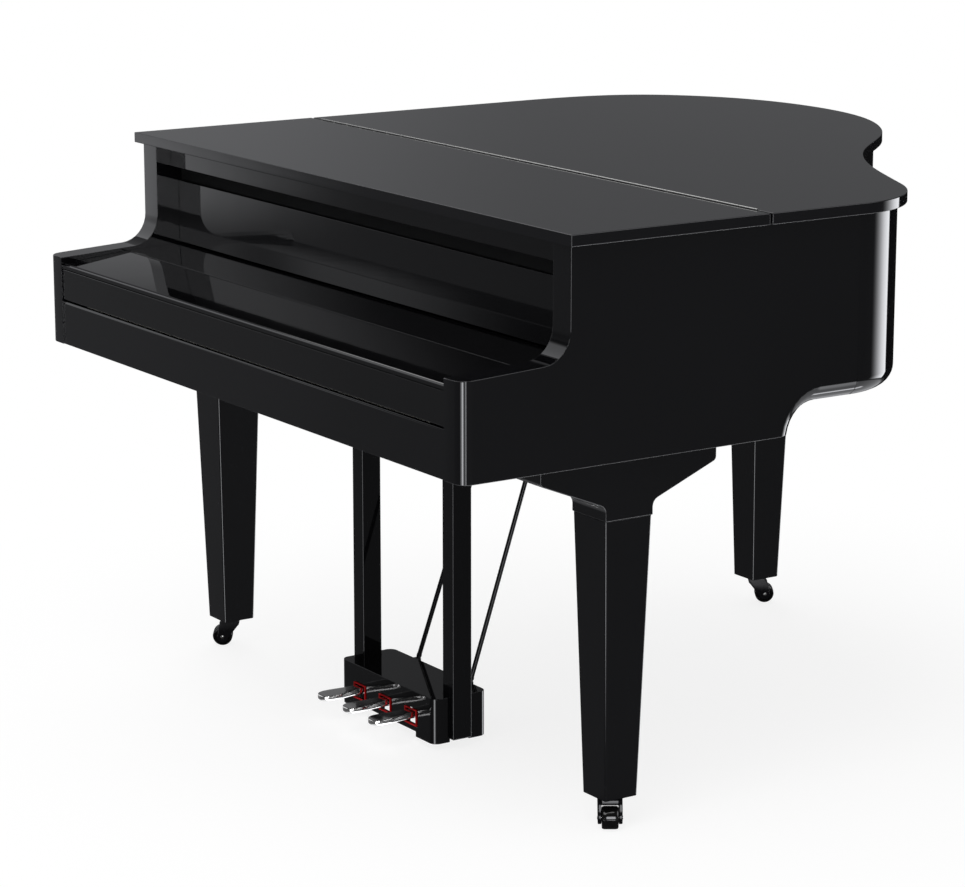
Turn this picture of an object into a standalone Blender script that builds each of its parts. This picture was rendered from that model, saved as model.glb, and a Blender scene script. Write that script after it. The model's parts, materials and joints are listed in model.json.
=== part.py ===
"""Digital grand piano in polished black: case, folding lid, keyboard under a closed cover,
lyre with three pedals, and three legs on swivel casters.

Metres, +Z up. The origin is on the floor under the middle of the piano. The keyboard faces -Y,
the bass side is -X, the treble side is +X and the curved tail points to +Y.
"""
import math

import bmesh
import bpy
from mathutils import Matrix, Vector

# Section: driving dimensions
GAP = 0.0003                 # between pieces that touch

# Lid and case. The front of the arms, the lid's width and the heights of lid and case drive the rest.
HALF_LID = 0.750             # half the lid's width
LID_TOP = 1.050
LID_THICK = 0.0197
OVERHANG = 0.0167            # lid beyond the case, all round
LID_BOTTOM = LID_TOP - LID_THICK
ARM_FRONT_Y = -0.7869
CHEEK_FRONT_Y = ARM_FRONT_Y + 0.2118
LID_FRONT_Y = CHEEK_FRONT_Y - 0.0113
HINGE_Y = LID_FRONT_Y + 0.4072       # fold line between the front flap and the main lid

CASE_HALF = HALF_LID - OVERHANG
SIDE_THICK = 0.0518
INNER_HALF = CASE_HALF - SIDE_THICK
SPAN_HALF = INNER_HALF - GAP         # boards that fit between the two sides
CASE_TOP = LID_BOTTOM - 0.0006
CASE_BOTTOM = 0.6585
ARM_TOP = 0.8284
ARM_SLOPE = math.radians(3.0)
ARM_CORNER = 0.022                   # rounding of the arm's outer front corner
ARM_FILLET = 0.055                   # curve from the arm up into the cheek

RIM_START_Y = 0.029                  # the straight sides end and the bent rim begins
RIM_BOTTOM = CASE_BOTTOM + 0.0495
ARCH_RADIUS = 0.058
ARCH_CENTRE = (RIM_START_Y - 0.079, RIM_BOTTOM - ARCH_RADIUS)
EDGE_ROUND = 0.034                   # rounded lower outer edge of arch and rim

# The lid's curved edge, from the treble side round the tail. Each pair is a step in x from the nearer
# side of the lid, and a step in y from the start of the rim or, for the last four, from the tail's tip.
TAIL_Y = 0.787
SHOULDER = (0.133, 0.190)
BENT_SIDE = (0.475, 0.386)
TAIL_START = (0.718, 0.120)
TAIL_TIP_X = 0.441
BASS_SHOULDER = (0.088, 0.138)
BASS_END = 0.508
# Knots of the curve: x, y and heading in degrees.
LID_KNOTS = (
    (HALF_LID, RIM_START_Y, 90),
    (HALF_LID - SHOULDER[0], RIM_START_Y + SHOULDER[1], 154),
    (HALF_LID - BENT_SIDE[0], RIM_START_Y + BENT_SIDE[1], 140),
    (HALF_LID - TAIL_START[0], TAIL_Y - TAIL_START[1], 143),
    (-HALF_LID + TAIL_TIP_X, TAIL_Y, 180),
    (-HALF_LID + BASS_SHOULDER[0], TAIL_Y - BASS_SHOULDER[1], 226),
    (-HALF_LID, TAIL_Y - BASS_END, 270),
)

# Front boards.
SLIP_FRONT_Y = ARM_FRONT_Y + 0.0029
SLIP_THICK = 0.0145
SLIP_TOP = CASE_BOTTOM + 0.0850
BED_TOP = CASE_BOTTOM + 0.0300
PANEL_FRONT_Y = CHEEK_FRONT_Y + 0.0484
PANEL_THICK = 0.0120
PANEL_BOTTOM = ARM_TOP + 0.0147
BEAM_FRONT_Y = CHEEK_FRONT_Y + 0.0324
BEAM_BOTTOM = LID_BOTTOM - 0.0427
BEAM_THICK = 0.0180
PANEL_TOP = BEAM_BOTTOM - 0.0291
GRILLE_Y = (PANEL_FRONT_Y + 0.0067, PANEL_FRONT_Y + 0.0147)

# Key cover, the fixed strip behind it and the rail behind the keys.
COVER_HALF = INNER_HALF - 0.0015
COVER_FRONT_Y = ARM_FRONT_Y + 0.0014
COVER_FRONT_TOP = ARM_TOP - 0.0128
COVER_THICK = 0.0098
COVER_AXIS = (COVER_FRONT_Y + 0.1370, ARM_TOP - 0.0042)      # y, z of the cover's pivot pins
COVER_END_R = COVER_THICK / 2
LIP_BOTTOM = SLIP_TOP + 0.0035
LIP_THICK = 0.0120
PIN_R = 0.0032
PIN_DEPTH = 0.0060                   # how far each pin goes into its side board
PIN_CLEAR = 0.0004
STRIP_REAR = (PANEL_FRONT_Y + 0.0117, COVER_AXIS[1] + 0.0091)
NAME_RAIL_Y = (COVER_AXIS[0] + 0.0165, COVER_AXIS[0] + 0.0285)

# Keyboard.
WHITE_KEYS = 52
BLOCK_WIDTH = 0.0692                 # from a side board to the first key
KEY_PITCH = 2 * (INNER_HALF - BLOCK_WIDTH) / WHITE_KEYS
KEY_GAP = 0.0010
KEY_FRONT_Y = ARM_FRONT_Y + 0.0184
KEY_REAR_Y = KEY_FRONT_Y + 0.3685
KEY_RAIL = 0.0150
KEY_BOTTOM = BED_TOP + 0.0460
KEY_TOP = KEY_BOTTOM + 0.0222
BLACK_FRONT_Y = KEY_FRONT_Y + 0.0500
BLACK_REAR_Y = BLACK_FRONT_Y + 0.1885
BLACK_WIDTH = 0.0105
BLACK_SLOT = 0.0135
BLACK_TOP = KEY_TOP + 0.0120
NAME_RAIL_BOTTOM = BLACK_TOP + 0.0058
KEY_AXIS_Y = KEY_FRONT_Y + 0.2185    # balance rail
KEY_JOINING_RAIL_Y = (KEY_AXIS_Y - 0.0500, KEY_AXIS_Y - 0.0350)
KEY_FRAME_THICK = 0.0117
KEY_FRAME_REAR_Y = KEY_REAR_Y + 0.0080
BLOCK_GAP = 0.0010                   # beside the last keys and behind the key slip
BUTTON_XY = (INNER_HALF - 0.0335, KEY_FRONT_Y + 0.0435)
BUTTON_R = 0.0070
BUTTON_RISE = 0.0025                 # how far the button stands above its block
BUTTON_DEPTH = 0.0045
KNOB_XY = (-INNER_HALF + 0.0335, KEY_FRONT_Y + 0.0435)
KNOB_R = 0.0095
KNOB_HEIGHT = 0.0117

# Boards and fittings inside the case.
DECK_TOP = LID_BOTTOM - 0.0503
DECK_THICK = 0.0120
BOARD_THICK = 0.0140
REAR_BOARD_BOTTOM = RIM_BOTTOM + 0.0080
SOUND_TOP = REAR_BOARD_BOTTOM + 0.0760
SOUND_THICK = 0.0100
CROSS_Y = (-0.1400, -0.1220)
BED_REAR_Y = CROSS_Y[1] + 0.0130
SPEAKERS = {                         # x, y, radius
    "bass_speaker": (-HALF_LID + 0.41, CROSS_Y[1] + 0.312, 0.105),
    "treble_speaker": (-HALF_LID + 0.88, CROSS_Y[1] + 0.262, 0.070),
}
SPEAKER_HOLE = 0.86                  # of the speaker's radius
UNIT_HALF = 0.200                    # tone generator and amplifier
UNIT_Y = (-0.3600, -0.2200)
UNIT_HEIGHT = 0.0647
JACK_BOX = ((0.0815, 0.1515), (0.1469, 0.2269), 0.024)       # steps in from the bass side and the arm's front
JACK_X = (0.1015, 0.1315)
JACK_R = 0.0034
INLET_BOX = ((0.270, 0.350), (-0.200, -0.130), 0.032)        # x range, y range, height

REST_HALF = 0.350
REST_AXIS = (GRILLE_Y[1] + 0.0220, DECK_TOP + 0.0012)
REST_DEPTH = 0.235
REST_THICK = 0.0120
REST_LEDGE = 0.0320
REST_LEDGE_THICK = 0.0100

# Lid hinges and prop.
BARREL_R = 0.0022
BARREL_Z = LID_TOP + 0.0005
HINGE_HALF = HALF_LID - 0.038
KNUCKLES = 14
LEAF_THICK = 0.0010
LEAF_INSET = 0.0023                  # from the fold line to a leaf's outer face
SIDE_AXIS = (-CASE_HALF - 0.0062, LID_BOTTOM - 0.0058)       # x, z of the bass side's lid hinge
SIDE_HINGE_Y = (-0.150, 0.260)
SIDE_BARREL_R = 0.0035
SIDE_LEAF_DROP = 0.0295              # the case leaf's lower edge below the axis
PROP_PIVOT = (INNER_HALF - 0.1815, -0.120, LID_BOTTOM - 0.0125)
PROP_LENGTH = 0.600
PROP_HEADING = math.radians(130.0)
PROP_R = 0.0060
PROP_PIN_R = 0.0030
PROP_CLEAR = PROP_R * math.sqrt(2) + 0.0005                  # room round the pivot for the stick's square end
PROP_LEDGE = (INNER_HALF - 0.0735, PROP_PIVOT[1] - 0.030, PROP_PIVOT[1] + 0.020)    # x, front y, rear y
PROP_LEDGE_Z = (DECK_TOP + 0.0010, DECK_TOP + 0.0135)

# Legs and casters.
FOOT_Z = 0.0570
COLLAR_Z = CASE_BOTTOM - 0.1055
LEG_TOP = COLLAR_Z - GAP
LEG_FOOT_HALF = 0.0336
LEG_TOP_HALF = 0.0476
FRONT_LEG = (HALF_LID - 0.0893, -0.4367)
TAIL_LEG = (-HALF_LID + 0.4243, TAIL_Y - 0.1327)
TAIL_LEG_TOP = REAR_BOARD_BOTTOM - 0.0143
CORBEL_HALF_X = 0.0490
CORBEL_REACH = 0.1805
CORBEL_END = 0.0300
COLLAR_HALF = 0.0485
WHEEL_R = 0.0200
WHEEL_HALF = 0.0095
TRAIL = 0.0180
CASTER_YAW = {"bass": -123.5, "treble": -33.5, "tail": 56.5}

# Lyre.
POST_X = (0.1384, 0.1742)
POST_Y = (-0.4404, -0.3997)
POST_FOOT = 0.0196
BOX_HALF = POST_X[1] - 0.0102
BOX_Y = (POST_Y[0] - 0.0356, POST_Y[1] + 0.0403)
BOX_Z = (0.0142, 0.0242, 0.1007)     # feet, middle of the lower edge, top
BOX_WALL = 0.0120
BOX_CORNER = 0.0150
BOX_FOOT_X = 0.1010                  # the box's two feet begin here
PEDAL_X = (-0.094, -0.004, 0.086)
PEDAL_AXIS = (BOX_Y[1] - 0.0356, 0.0530)
PEDAL_TIP_Y = BOX_Y[0] - 0.0890
PEDAL_Z = (PEDAL_AXIS[1] - 0.0050, PEDAL_AXIS[1] + 0.0050)
PEDAL_TOE = 0.0205                   # half the toe's width
PEDAL_SHANK = 0.0120
PEDAL_PIN_R = 0.0040
RIB = (0.0175, 0.0235)               # from a pedal's middle to its pin's carrier, inside and outside
FELT = (0.0200, 0.0340, 0.0670, 0.0035)                      # half-width, bottom, top, thickness
FELT_PROUD = 0.0025
ROD_R = 0.0030
ROD_FOOT = (0.0908, BOX_Y[1] + 0.0086, BOX_Z[2] - 0.0127)
ROD_HEAD = (0.0801, -0.1525, CASE_BOTTOM - 0.0025)

# Section: scene and helpers
for old in list(bpy.data.objects):
    bpy.data.objects.remove(old, do_unlink=True)

PARTS = bpy.data.collections.new("digital_grand_piano")
CUTTERS = bpy.data.collections.new("cutters")
bpy.context.scene.collection.children.link(PARTS)
bpy.context.scene.collection.children.link(CUTTERS)


def material(name, colour, roughness, metallic=0.0):
    """A Principled material of one colour."""
    mat = bpy.data.materials.new(name)
    mat.use_nodes = True
    shader = mat.node_tree.nodes["Principled BSDF"]
    shader.inputs["Base Color"].default_value = (*colour, 1.0)
    shader.inputs["Roughness"].default_value = roughness
    shader.inputs["Metallic"].default_value = metallic
    return mat


def ebony(name):
    return material(name + "_ebony", (0.008, 0.008, 0.010), 0.08)


def nickel(name):
    return material(name + "_nickel", (0.75, 0.74, 0.72), 0.15, 1.0)


def board(name):
    return material(name + "_board", (0.030, 0.028, 0.026), 0.60)


def add(name, mesh, mat, collection=None):
    """Links a mesh as a named object and shades its round faces smooth."""
    obj = bpy.data.objects.new(name, mesh)
    (collection or PARTS).objects.link(obj)
    if mat:
        mesh.materials.clear()
        mesh.materials.append(mat)
        mesh.shade_smooth()
        mesh.set_sharp_from_angle(angle=math.radians(32))
    return obj


def from_bmesh(name, bm, mat, collection=None):
    mesh = bpy.data.meshes.new(name)
    bm.normal_update()
    bmesh.ops.recalc_face_normals(bm, faces=bm.faces)
    bm.to_mesh(mesh)
    bm.free()
    return add(name, mesh, mat, collection)


def put_box(bm, low, high):
    """Adds a cube primitive between two corners."""
    size = [b - a for a, b in zip(low, high)]
    centre = [(a + b) / 2 for a, b in zip(low, high)]
    bmesh.ops.create_cube(bm, size=1.0, matrix=Matrix.Translation(centre) @ Matrix.Diagonal((*size, 1)))


def put_rod(bm, start, end, radius, sides=12, end_radius=None):
    """Adds a closed cylinder or cone primitive between two points."""
    start, end = Vector(start), Vector(end)
    turn = (end - start).to_track_quat("Z", "Y").to_matrix().to_4x4()
    bmesh.ops.create_cone(bm, cap_ends=True, segments=sides, radius1=radius,
                          radius2=radius if end_radius is None else end_radius,
                          depth=(end - start).length,
                          matrix=Matrix.Translation((start + end) / 2) @ turn)


def box(name, low, high, mat):
    bm = bmesh.new()
    put_box(bm, low, high)
    return from_bmesh(name, bm, mat)


def cutter(name, fill):
    """A hidden helper mesh, made by fill(bm)."""
    bm = bmesh.new()
    fill(bm)
    obj = from_bmesh(name, bm, None, CUTTERS)
    obj.hide_render = True
    obj.display_type = "WIRE"
    return obj


def combine(obj, tool, operation="DIFFERENCE"):
    """Cuts a helper out of the object, or joins it on."""
    mod = obj.modifiers.new(tool.name, "BOOLEAN")
    mod.operation = operation
    mod.solver = "EXACT"
    mod.object = tool


def bake(obj, mat):
    """Replaces an object by the mesh it evaluates to, welded and facing out."""
    bpy.context.view_layer.update()
    mesh = bpy.data.meshes.new_from_object(obj.evaluated_get(bpy.context.evaluated_depsgraph_get()))
    name, matrix = obj.name, obj.matrix_world.copy()
    bpy.data.objects.remove(obj, do_unlink=True)
    bm = bmesh.new()
    bm.from_mesh(mesh)
    bm.transform(matrix)
    bmesh.ops.remove_doubles(bm, verts=bm.verts, dist=0.00001)
    bpy.data.meshes.remove(mesh)
    return from_bmesh(name, bm, mat)


def extruded(name, points, low, high, mat, across="Z"):
    """A flat outline, filled and extruded along Z, or along X with the points read as y, z."""
    curve = bpy.data.curves.new(name, "CURVE")
    curve.dimensions = "2D"
    curve.fill_mode = "BOTH"
    curve.extrude = (high - low) / 2
    spline = curve.splines.new("POLY")
    spline.points.add(len(points) - 1)
    for slot, (a, b) in zip(spline.points, points):
        slot.co = (a, b, 0, 1)
    spline.use_cyclic_u = True
    obj = bpy.data.objects.new(name, curve)
    PARTS.objects.link(obj)
    if across == "X":
        obj.rotation_euler = (math.pi / 2, 0, math.pi / 2)
        obj.location = ((low + high) / 2, 0, 0)
    else:
        obj.location = (0, 0, (low + high) / 2)
    return bake(obj, mat)


def turned(name, profile, steps, mat, centre=(0, 0, 0), rotation=(0, 0, 0)):
    """A closed loop of (radius, height) turned about its own Z axis."""
    mesh = bpy.data.meshes.new(name)
    count = len(profile)
    mesh.from_pydata([(r, 0, h) for r, h in profile], [(i, (i + 1) % count) for i in range(count)], [])
    obj = bpy.data.objects.new(name, mesh)
    PARTS.objects.link(obj)
    obj.location, obj.rotation_euler = centre, rotation
    mod = obj.modifiers.new("turn", "SCREW")
    mod.steps = mod.render_steps = steps
    mod.use_merge_vertices = True
    mod.merge_threshold = 0.00001
    return bake(obj, mat)


def round_edges(obj, radius, segments, chosen):
    """Rounds the mesh edges whose two ends pass the test. Flat faces are made whole first."""
    bm = bmesh.new()
    bm.from_mesh(obj.data)
    bmesh.ops.dissolve_limit(bm, angle_limit=0.001, verts=bm.verts, edges=bm.edges)
    edges = [e for e in bm.edges if chosen(e.verts[0].co, e.verts[1].co)]
    bmesh.ops.bevel(bm, geom=edges, offset=radius, segments=segments, profile=0.5,
                    affect="EDGES", clamp_overlap=False)
    bm.to_mesh(obj.data)
    bm.free()
    obj.data.shade_smooth()
    obj.data.set_sharp_from_angle(angle=math.radians(32))


def pivot(obj, point):
    """Moves the object's origin to a point on its joint axis."""
    obj.data.transform(Matrix.Translation([-c for c in point]))
    obj.location = point


def arc(centre, radius, start, end, steps):
    """Points of an arc, angles in degrees."""
    points = []
    for i in range(steps + 1):
        angle = math.radians(start + (end - start) * i / steps)
        points.append((centre[0] + radius * math.cos(angle), centre[1] + radius * math.sin(angle)))
    return points


def curved_edge(inset, steps=7):
    """The lid's curved edge moved inwards by a distance, from the treble side to the bass side."""
    points = []
    for first, last in zip(LID_KNOTS, LID_KNOTS[1:]):
        a, b = Vector(first[:2]), Vector(last[:2])
        reach = 0.36 * (b - a).length
        ta = Vector((math.cos(math.radians(first[2])), math.sin(math.radians(first[2]))))
        tb = Vector((math.cos(math.radians(last[2])), math.sin(math.radians(last[2]))))
        c, d = a + ta * reach, b - tb * reach
        for i in range(steps + (last is LID_KNOTS[-1])):
            t = i / steps
            s = 1 - t
            spot = a * s ** 3 + c * 3 * s * s * t + d * 3 * s * t * t + b * t ** 3
            way = ((c - a) * s * s + (d - c) * 2 * s * t + (b - d) * t * t).normalized()
            points.append((spot.x - way.y * inset, spot.y + way.x * inset))
    return points


# Section: case
def side_panel(name, side):
    """A side board: low arm, fillet, tall cheek, and the arch behind the front leg.
    The treble side has the ledge that takes the foot of the raised prop."""
    fillet = (CHEEK_FRONT_Y - ARM_FILLET, ARM_TOP + ARM_FILLET
              + (CHEEK_FRONT_Y - ARM_FILLET - ARM_FRONT_Y) * math.tan(ARM_SLOPE))
    arch_start = math.degrees(math.asin((CASE_BOTTOM - ARCH_CENTRE[1]) / ARCH_RADIUS))
    points = [(ARM_FRONT_Y, CASE_BOTTOM), (ARM_FRONT_Y, ARM_TOP)]
    points += arc(fillet, ARM_FILLET, 273, 360, 8)
    points += [(CHEEK_FRONT_Y, CASE_TOP), (RIM_START_Y - GAP, CASE_TOP), (RIM_START_Y - GAP, RIM_BOTTOM)]
    points += arc(ARCH_CENTRE, ARCH_RADIUS, 90, 180 - arch_start, 8)
    points = points[::-1]
    low, high = (INNER_HALF, CASE_HALF) if side > 0 else (-CASE_HALF, -INNER_HALF)
    panel = extruded(name, points, low, high, ebony(name), across="X")
    outer = side * CASE_HALF

    def arm_corner(a, b):
        return all(abs(v.x - outer) < 1e-4 and abs(v.y - ARM_FRONT_Y) < 1e-4 for v in (a, b))

    def arch_edge(a, b):
        return all(abs(v.x - outer) < 1e-4 and v.y > ARCH_CENTRE[0] - ARCH_RADIUS - 0.001
                   and v.z < RIM_BOTTOM + 1e-4 for v in (a, b))

    round_edges(panel, EDGE_ROUND, 4, arch_edge)
    round_edges(panel, ARM_CORNER, 4, arm_corner)
    combine(panel, cutter(name + "_pin_hole", lambda bm: put_rod(
        bm, (side * (INNER_HALF - 0.01), *COVER_AXIS), (side * (INNER_HALF + PIN_DEPTH + 0.003), *COVER_AXIS),
        PIN_R + PIN_CLEAR)))
    if side > 0:
        combine(panel, cutter("prop_ledge", lambda bm: put_box(
            bm, (PROP_LEDGE[0], PROP_LEDGE[1], PROP_LEDGE_Z[0]),
            (INNER_HALF + 0.010, PROP_LEDGE[2], PROP_LEDGE_Z[1]))), "UNION")


def curved_rim():
    """The bent rim from the treble corner along the bentside and round the tail."""
    outer = curved_edge(OVERHANG)
    inner = curved_edge(OVERHANG + SIDE_THICK)
    outer.append((-CASE_HALF, RIM_START_Y))
    inner.append((-INNER_HALF, RIM_START_Y))
    rim = extruded("curved_rim", outer + inner[::-1], RIM_BOTTOM, CASE_TOP, ebony("curved_rim"))
    edge = {(round(x, 4), round(y, 4)) for x, y in outer}

    def lower_edge(a, b):
        return all(v.z < RIM_BOTTOM + 1e-4 and (round(v.x, 4), round(v.y, 4)) in edge for v in (a, b))

    round_edges(rim, EDGE_ROUND, 3, lower_edge)


def inside_board(name, bottom, thick, front_y, mat):
    """A horizontal board that fills the rear of the case."""
    points = [(SPAN_HALF, front_y)] + curved_edge(OVERHANG + SIDE_THICK + GAP) + [(-SPAN_HALF, front_y)]
    return extruded(name, points, bottom, bottom + thick, mat)


def key_bed():
    box("key_bed", (-SPAN_HALF, SLIP_FRONT_Y + SLIP_THICK + GAP, CASE_BOTTOM),
        (SPAN_HALF, BED_REAR_Y, BED_TOP), board("key_bed"))


def rear_bottom_board():
    inside_board("rear_bottom_board", REAR_BOARD_BOTTOM, BOARD_THICK, CROSS_Y[1] + GAP,
                 board("rear_bottom_board"))


def cross_board():
    """The upright board that closes the front of the rear bay and carries the inner deck."""
    box("cross_board", (-SPAN_HALF, CROSS_Y[0], BED_TOP + GAP),
        (SPAN_HALF, CROSS_Y[1], DECK_TOP - DECK_THICK - GAP), board("cross_board"))


def inner_deck():
    """The flat deck under the front flap, which carries the music rest."""
    box("inner_deck", (-SPAN_HALF, GRILLE_Y[1] + GAP, DECK_TOP - DECK_THICK),
        (SPAN_HALF, CROSS_Y[1], DECK_TOP), ebony("inner_deck"))


def soundboard():
    """The speaker deck low in the rear bay, with its two round openings."""
    panel = inside_board("soundboard", SOUND_TOP - SOUND_THICK, SOUND_THICK, CROSS_Y[1] + GAP,
                         material("soundboard_wood", (0.45, 0.25, 0.10), 0.35))
    for x, y, r in SPEAKERS.values():
        combine(panel, cutter("speaker_hole", lambda bm: put_rod(
            bm, (x, y, SOUND_TOP - 0.03), (x, y, SOUND_TOP + 0.03), r * SPEAKER_HOLE, 32)))


def speaker(name):
    """A round loudspeaker: flange on the deck, cone, basket and magnet, turned as one piece."""
    x, y, r = SPEAKERS[name]
    inner = r * SPEAKER_HOLE - 0.0006
    top = SOUND_TOP + GAP
    profile = [(0.0, top - 0.016), (r * 0.28, top - 0.012), (r * 0.34, top - 0.020), (r * 0.72, top - 0.002),
               (r * 0.84, top + 0.003), (r, top + 0.003), (r, top), (inner, top), (inner, top - 0.014),
               (r * 0.50, top - 0.040), (r * 0.50, top - 0.056), (0.0, top - 0.056)]
    turned(name, profile, 28, material(name + "_cone", (0.02, 0.02, 0.02), 0.7), centre=(x, y, 0))


def front_beam():
    box("front_beam", (-SPAN_HALF, BEAM_FRONT_Y, BEAM_BOTTOM),
        (SPAN_HALF, BEAM_FRONT_Y + BEAM_THICK, CASE_TOP), ebony("front_beam"))


def grille_strip():
    """The recessed sound outlet between the beam and the upright panel."""
    box("grille_strip", (-SPAN_HALF, GRILLE_Y[0], PANEL_TOP + GAP),
        (SPAN_HALF, GRILLE_Y[1], BEAM_BOTTOM - GAP), material("grille_cloth", (0.015, 0.015, 0.016), 0.85))


def fallboard_panel():
    box("fallboard_panel", (-SPAN_HALF, PANEL_FRONT_Y, PANEL_BOTTOM),
        (SPAN_HALF, PANEL_FRONT_Y + PANEL_THICK, PANEL_TOP), ebony("fallboard_panel"))


def cover_strip():
    """The fixed strip behind the key cover, rising slightly to the rear."""
    front = COVER_AXIS[0] + COVER_END_R + 0.0004
    top = COVER_AXIS[1] + COVER_END_R
    points = [(front, top - 0.010), (STRIP_REAR[0], STRIP_REAR[1] - 0.010), STRIP_REAR, (front, top)]
    extruded("cover_strip", points, -SPAN_HALF, SPAN_HALF, ebony("cover_strip"), across="X")


def name_rail():
    """The upright rail behind the visible length of the keys."""
    box("name_rail", (-SPAN_HALF, NAME_RAIL_Y[0], NAME_RAIL_BOTTOM),
        (SPAN_HALF, NAME_RAIL_Y[1], COVER_AXIS[1] - COVER_END_R - GAP), ebony("name_rail"))


def key_slip():
    """The front board below the cover, its upper front edge rounded as a finger rail."""
    slip = box("key_slip", (-SPAN_HALF, SLIP_FRONT_Y, CASE_BOTTOM),
               (SPAN_HALF, SLIP_FRONT_Y + SLIP_THICK, SLIP_TOP), ebony("key_slip"))
    round_edges(slip, 0.005, 4, lambda a, b: all(v.y < SLIP_FRONT_Y + 1e-4 and v.z > SLIP_TOP - 1e-4
                                                 for v in (a, b)))


# Section: key cover
def key_cover():
    """The leaf over the keys, with a round rear end about its two pivot pins."""
    points = [(COVER_FRONT_Y, COVER_FRONT_TOP - COVER_THICK), *arc(COVER_AXIS, COVER_END_R, -90, 90, 8),
              (COVER_FRONT_Y, COVER_FRONT_TOP)]
    leaf = extruded("key_cover", points, -COVER_HALF, COVER_HALF, ebony("key_cover"), across="X")
    reach = INNER_HALF + PIN_DEPTH
    combine(leaf, cutter("cover_pins", lambda bm: put_rod(
        bm, (-reach, *COVER_AXIS), (reach, *COVER_AXIS), PIN_R)), "UNION")
    pivot(leaf, (0, *COVER_AXIS))


def cover_lip():
    """The upright board hung from the leaf's front edge, which hides the key fronts."""
    lip = box("cover_lip", (-COVER_HALF, COVER_FRONT_Y + 0.001, LIP_BOTTOM),
              (COVER_HALF, COVER_FRONT_Y + 0.001 + LIP_THICK, COVER_FRONT_TOP - COVER_THICK - GAP),
              ebony("cover_lip"))
    pivot(lip, (0, *COVER_AXIS))


# Section: keyboard
def black_centres():
    """Centres of the black keys. The lowest white key is an A."""
    shifts = {1: -0.0022, 2: 0.0022, 4: -0.0026, 5: 0.0, 6: 0.0026}     # after C, D, F, G, A
    left = -WHITE_KEYS * KEY_PITCH / 2
    centres = []
    for i in range(1, WHITE_KEYS):
        step = (i + 4) % 7 + 1                                          # white keys since the last C
        if step in shifts:
            centres.append(left + i * KEY_PITCH + shifts[step])
    return centres


def white_keys():
    """All white keys as one comb: each key is free from its front to the rail at the rear."""
    left = -WHITE_KEYS * KEY_PITCH / 2
    rail_y = KEY_REAR_Y - KEY_RAIL
    notch_y = BLACK_FRONT_Y - 0.0025
    blacks = black_centres()
    points = []
    for i in range(WHITE_KEYS):
        x0, x1 = left + i * KEY_PITCH + KEY_GAP / 2, left + (i + 1) * KEY_PITCH - KEY_GAP / 2
        before = [c + BLACK_SLOT / 2 for c in blacks if abs(c - x0) < KEY_PITCH / 3]
        after = [c - BLACK_SLOT / 2 for c in blacks if abs(c - x1) < KEY_PITCH / 3]
        if before:
            points += [(before[0], rail_y), (before[0], notch_y), (x0, notch_y), (x0, KEY_FRONT_Y)]
        else:
            points += [(x0, rail_y), (x0, KEY_FRONT_Y)]
        if after:
            points += [(x1, KEY_FRONT_Y), (x1, notch_y), (after[0], notch_y), (after[0], rail_y)]
        else:
            points += [(x1, KEY_FRONT_Y), (x1, rail_y)]
    points[0] = (points[0][0], KEY_REAR_Y)
    points[-1] = (points[-1][0], KEY_REAR_Y)
    keys = extruded("white_keys", points, KEY_BOTTOM, KEY_TOP,
                    material("white_keys_ivory", (0.86, 0.85, 0.80), 0.25))
    pivot(keys, (0, KEY_AXIS_Y, KEY_BOTTOM))


def black_keys():
    """All black keys as one comb, joined by a rail that passes over the white keys."""
    centres = black_centres()
    keys = box("black_keys", (centres[0] - 0.004, KEY_JOINING_RAIL_Y[0], BLACK_TOP - 0.0047),
               (centres[-1] + 0.004, KEY_JOINING_RAIL_Y[1], BLACK_TOP + 0.0013),
               material("black_keys_ebony", (0.012, 0.012, 0.012), 0.3))

    def bodies(bm):
        for c in centres:
            put_box(bm, (c - BLACK_WIDTH / 2, BLACK_FRONT_Y, KEY_BOTTOM),
                    (c + BLACK_WIDTH / 2, BLACK_REAR_Y, BLACK_TOP))

    combine(keys, cutter("black_key_bodies", bodies), "UNION")
    pivot(keys, (0, KEY_AXIS_Y, KEY_BOTTOM))


def key_frame():
    """The frame on the key bed: front, balance and back rails under the keys, on cross bars."""
    half = WHITE_KEYS * KEY_PITCH / 2
    base = BED_TOP + GAP
    frame = box("key_frame", (-half, KEY_FRONT_Y + 0.0045, base),
                (half, KEY_FRAME_REAR_Y, base + KEY_FRAME_THICK), board("key_frame"))

    def rails(bm):
        low = base + KEY_FRAME_THICK / 2
        put_box(bm, (-half, KEY_FRONT_Y + 0.0085, low), (half, KEY_FRONT_Y + 0.0335, KEY_BOTTOM - 0.0115))
        put_box(bm, (-half, KEY_AXIS_Y - 0.005, low), (half, KEY_AXIS_Y + 0.005, KEY_BOTTOM - GAP))
        put_box(bm, (-half, KEY_REAR_Y - KEY_RAIL, low), (half, KEY_REAR_Y + 0.005, KEY_BOTTOM - GAP))

    combine(frame, cutter("key_frame_rails", rails), "UNION")


def key_block(name, side):
    """The block beside the last key, drilled for the button on the treble side."""
    x0, x1 = WHITE_KEYS * KEY_PITCH / 2 + BLOCK_GAP, SPAN_HALF
    low, high = sorted((side * x0, side * x1))
    block = box(name, (low, SLIP_FRONT_Y + SLIP_THICK + BLOCK_GAP, BED_TOP + GAP),
                (high, NAME_RAIL_Y[0] - GAP, KEY_TOP), ebony(name))
    if side > 0:
        combine(block, cutter("button_hole", lambda bm: put_rod(
            bm, (*BUTTON_XY, KEY_TOP - BUTTON_DEPTH - BUTTON_RISE), (*BUTTON_XY, KEY_TOP + 0.01),
            BUTTON_R + 0.0006, 20)))


def power_button():
    bm = bmesh.new()
    put_rod(bm, (*BUTTON_XY, KEY_TOP - BUTTON_DEPTH), (*BUTTON_XY, KEY_TOP + BUTTON_RISE), BUTTON_R, 20)
    button = from_bmesh("power_button", bm, material("power_button_black", (0.02, 0.02, 0.02), 0.35))
    pivot(button, (*BUTTON_XY, KEY_TOP))


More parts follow.
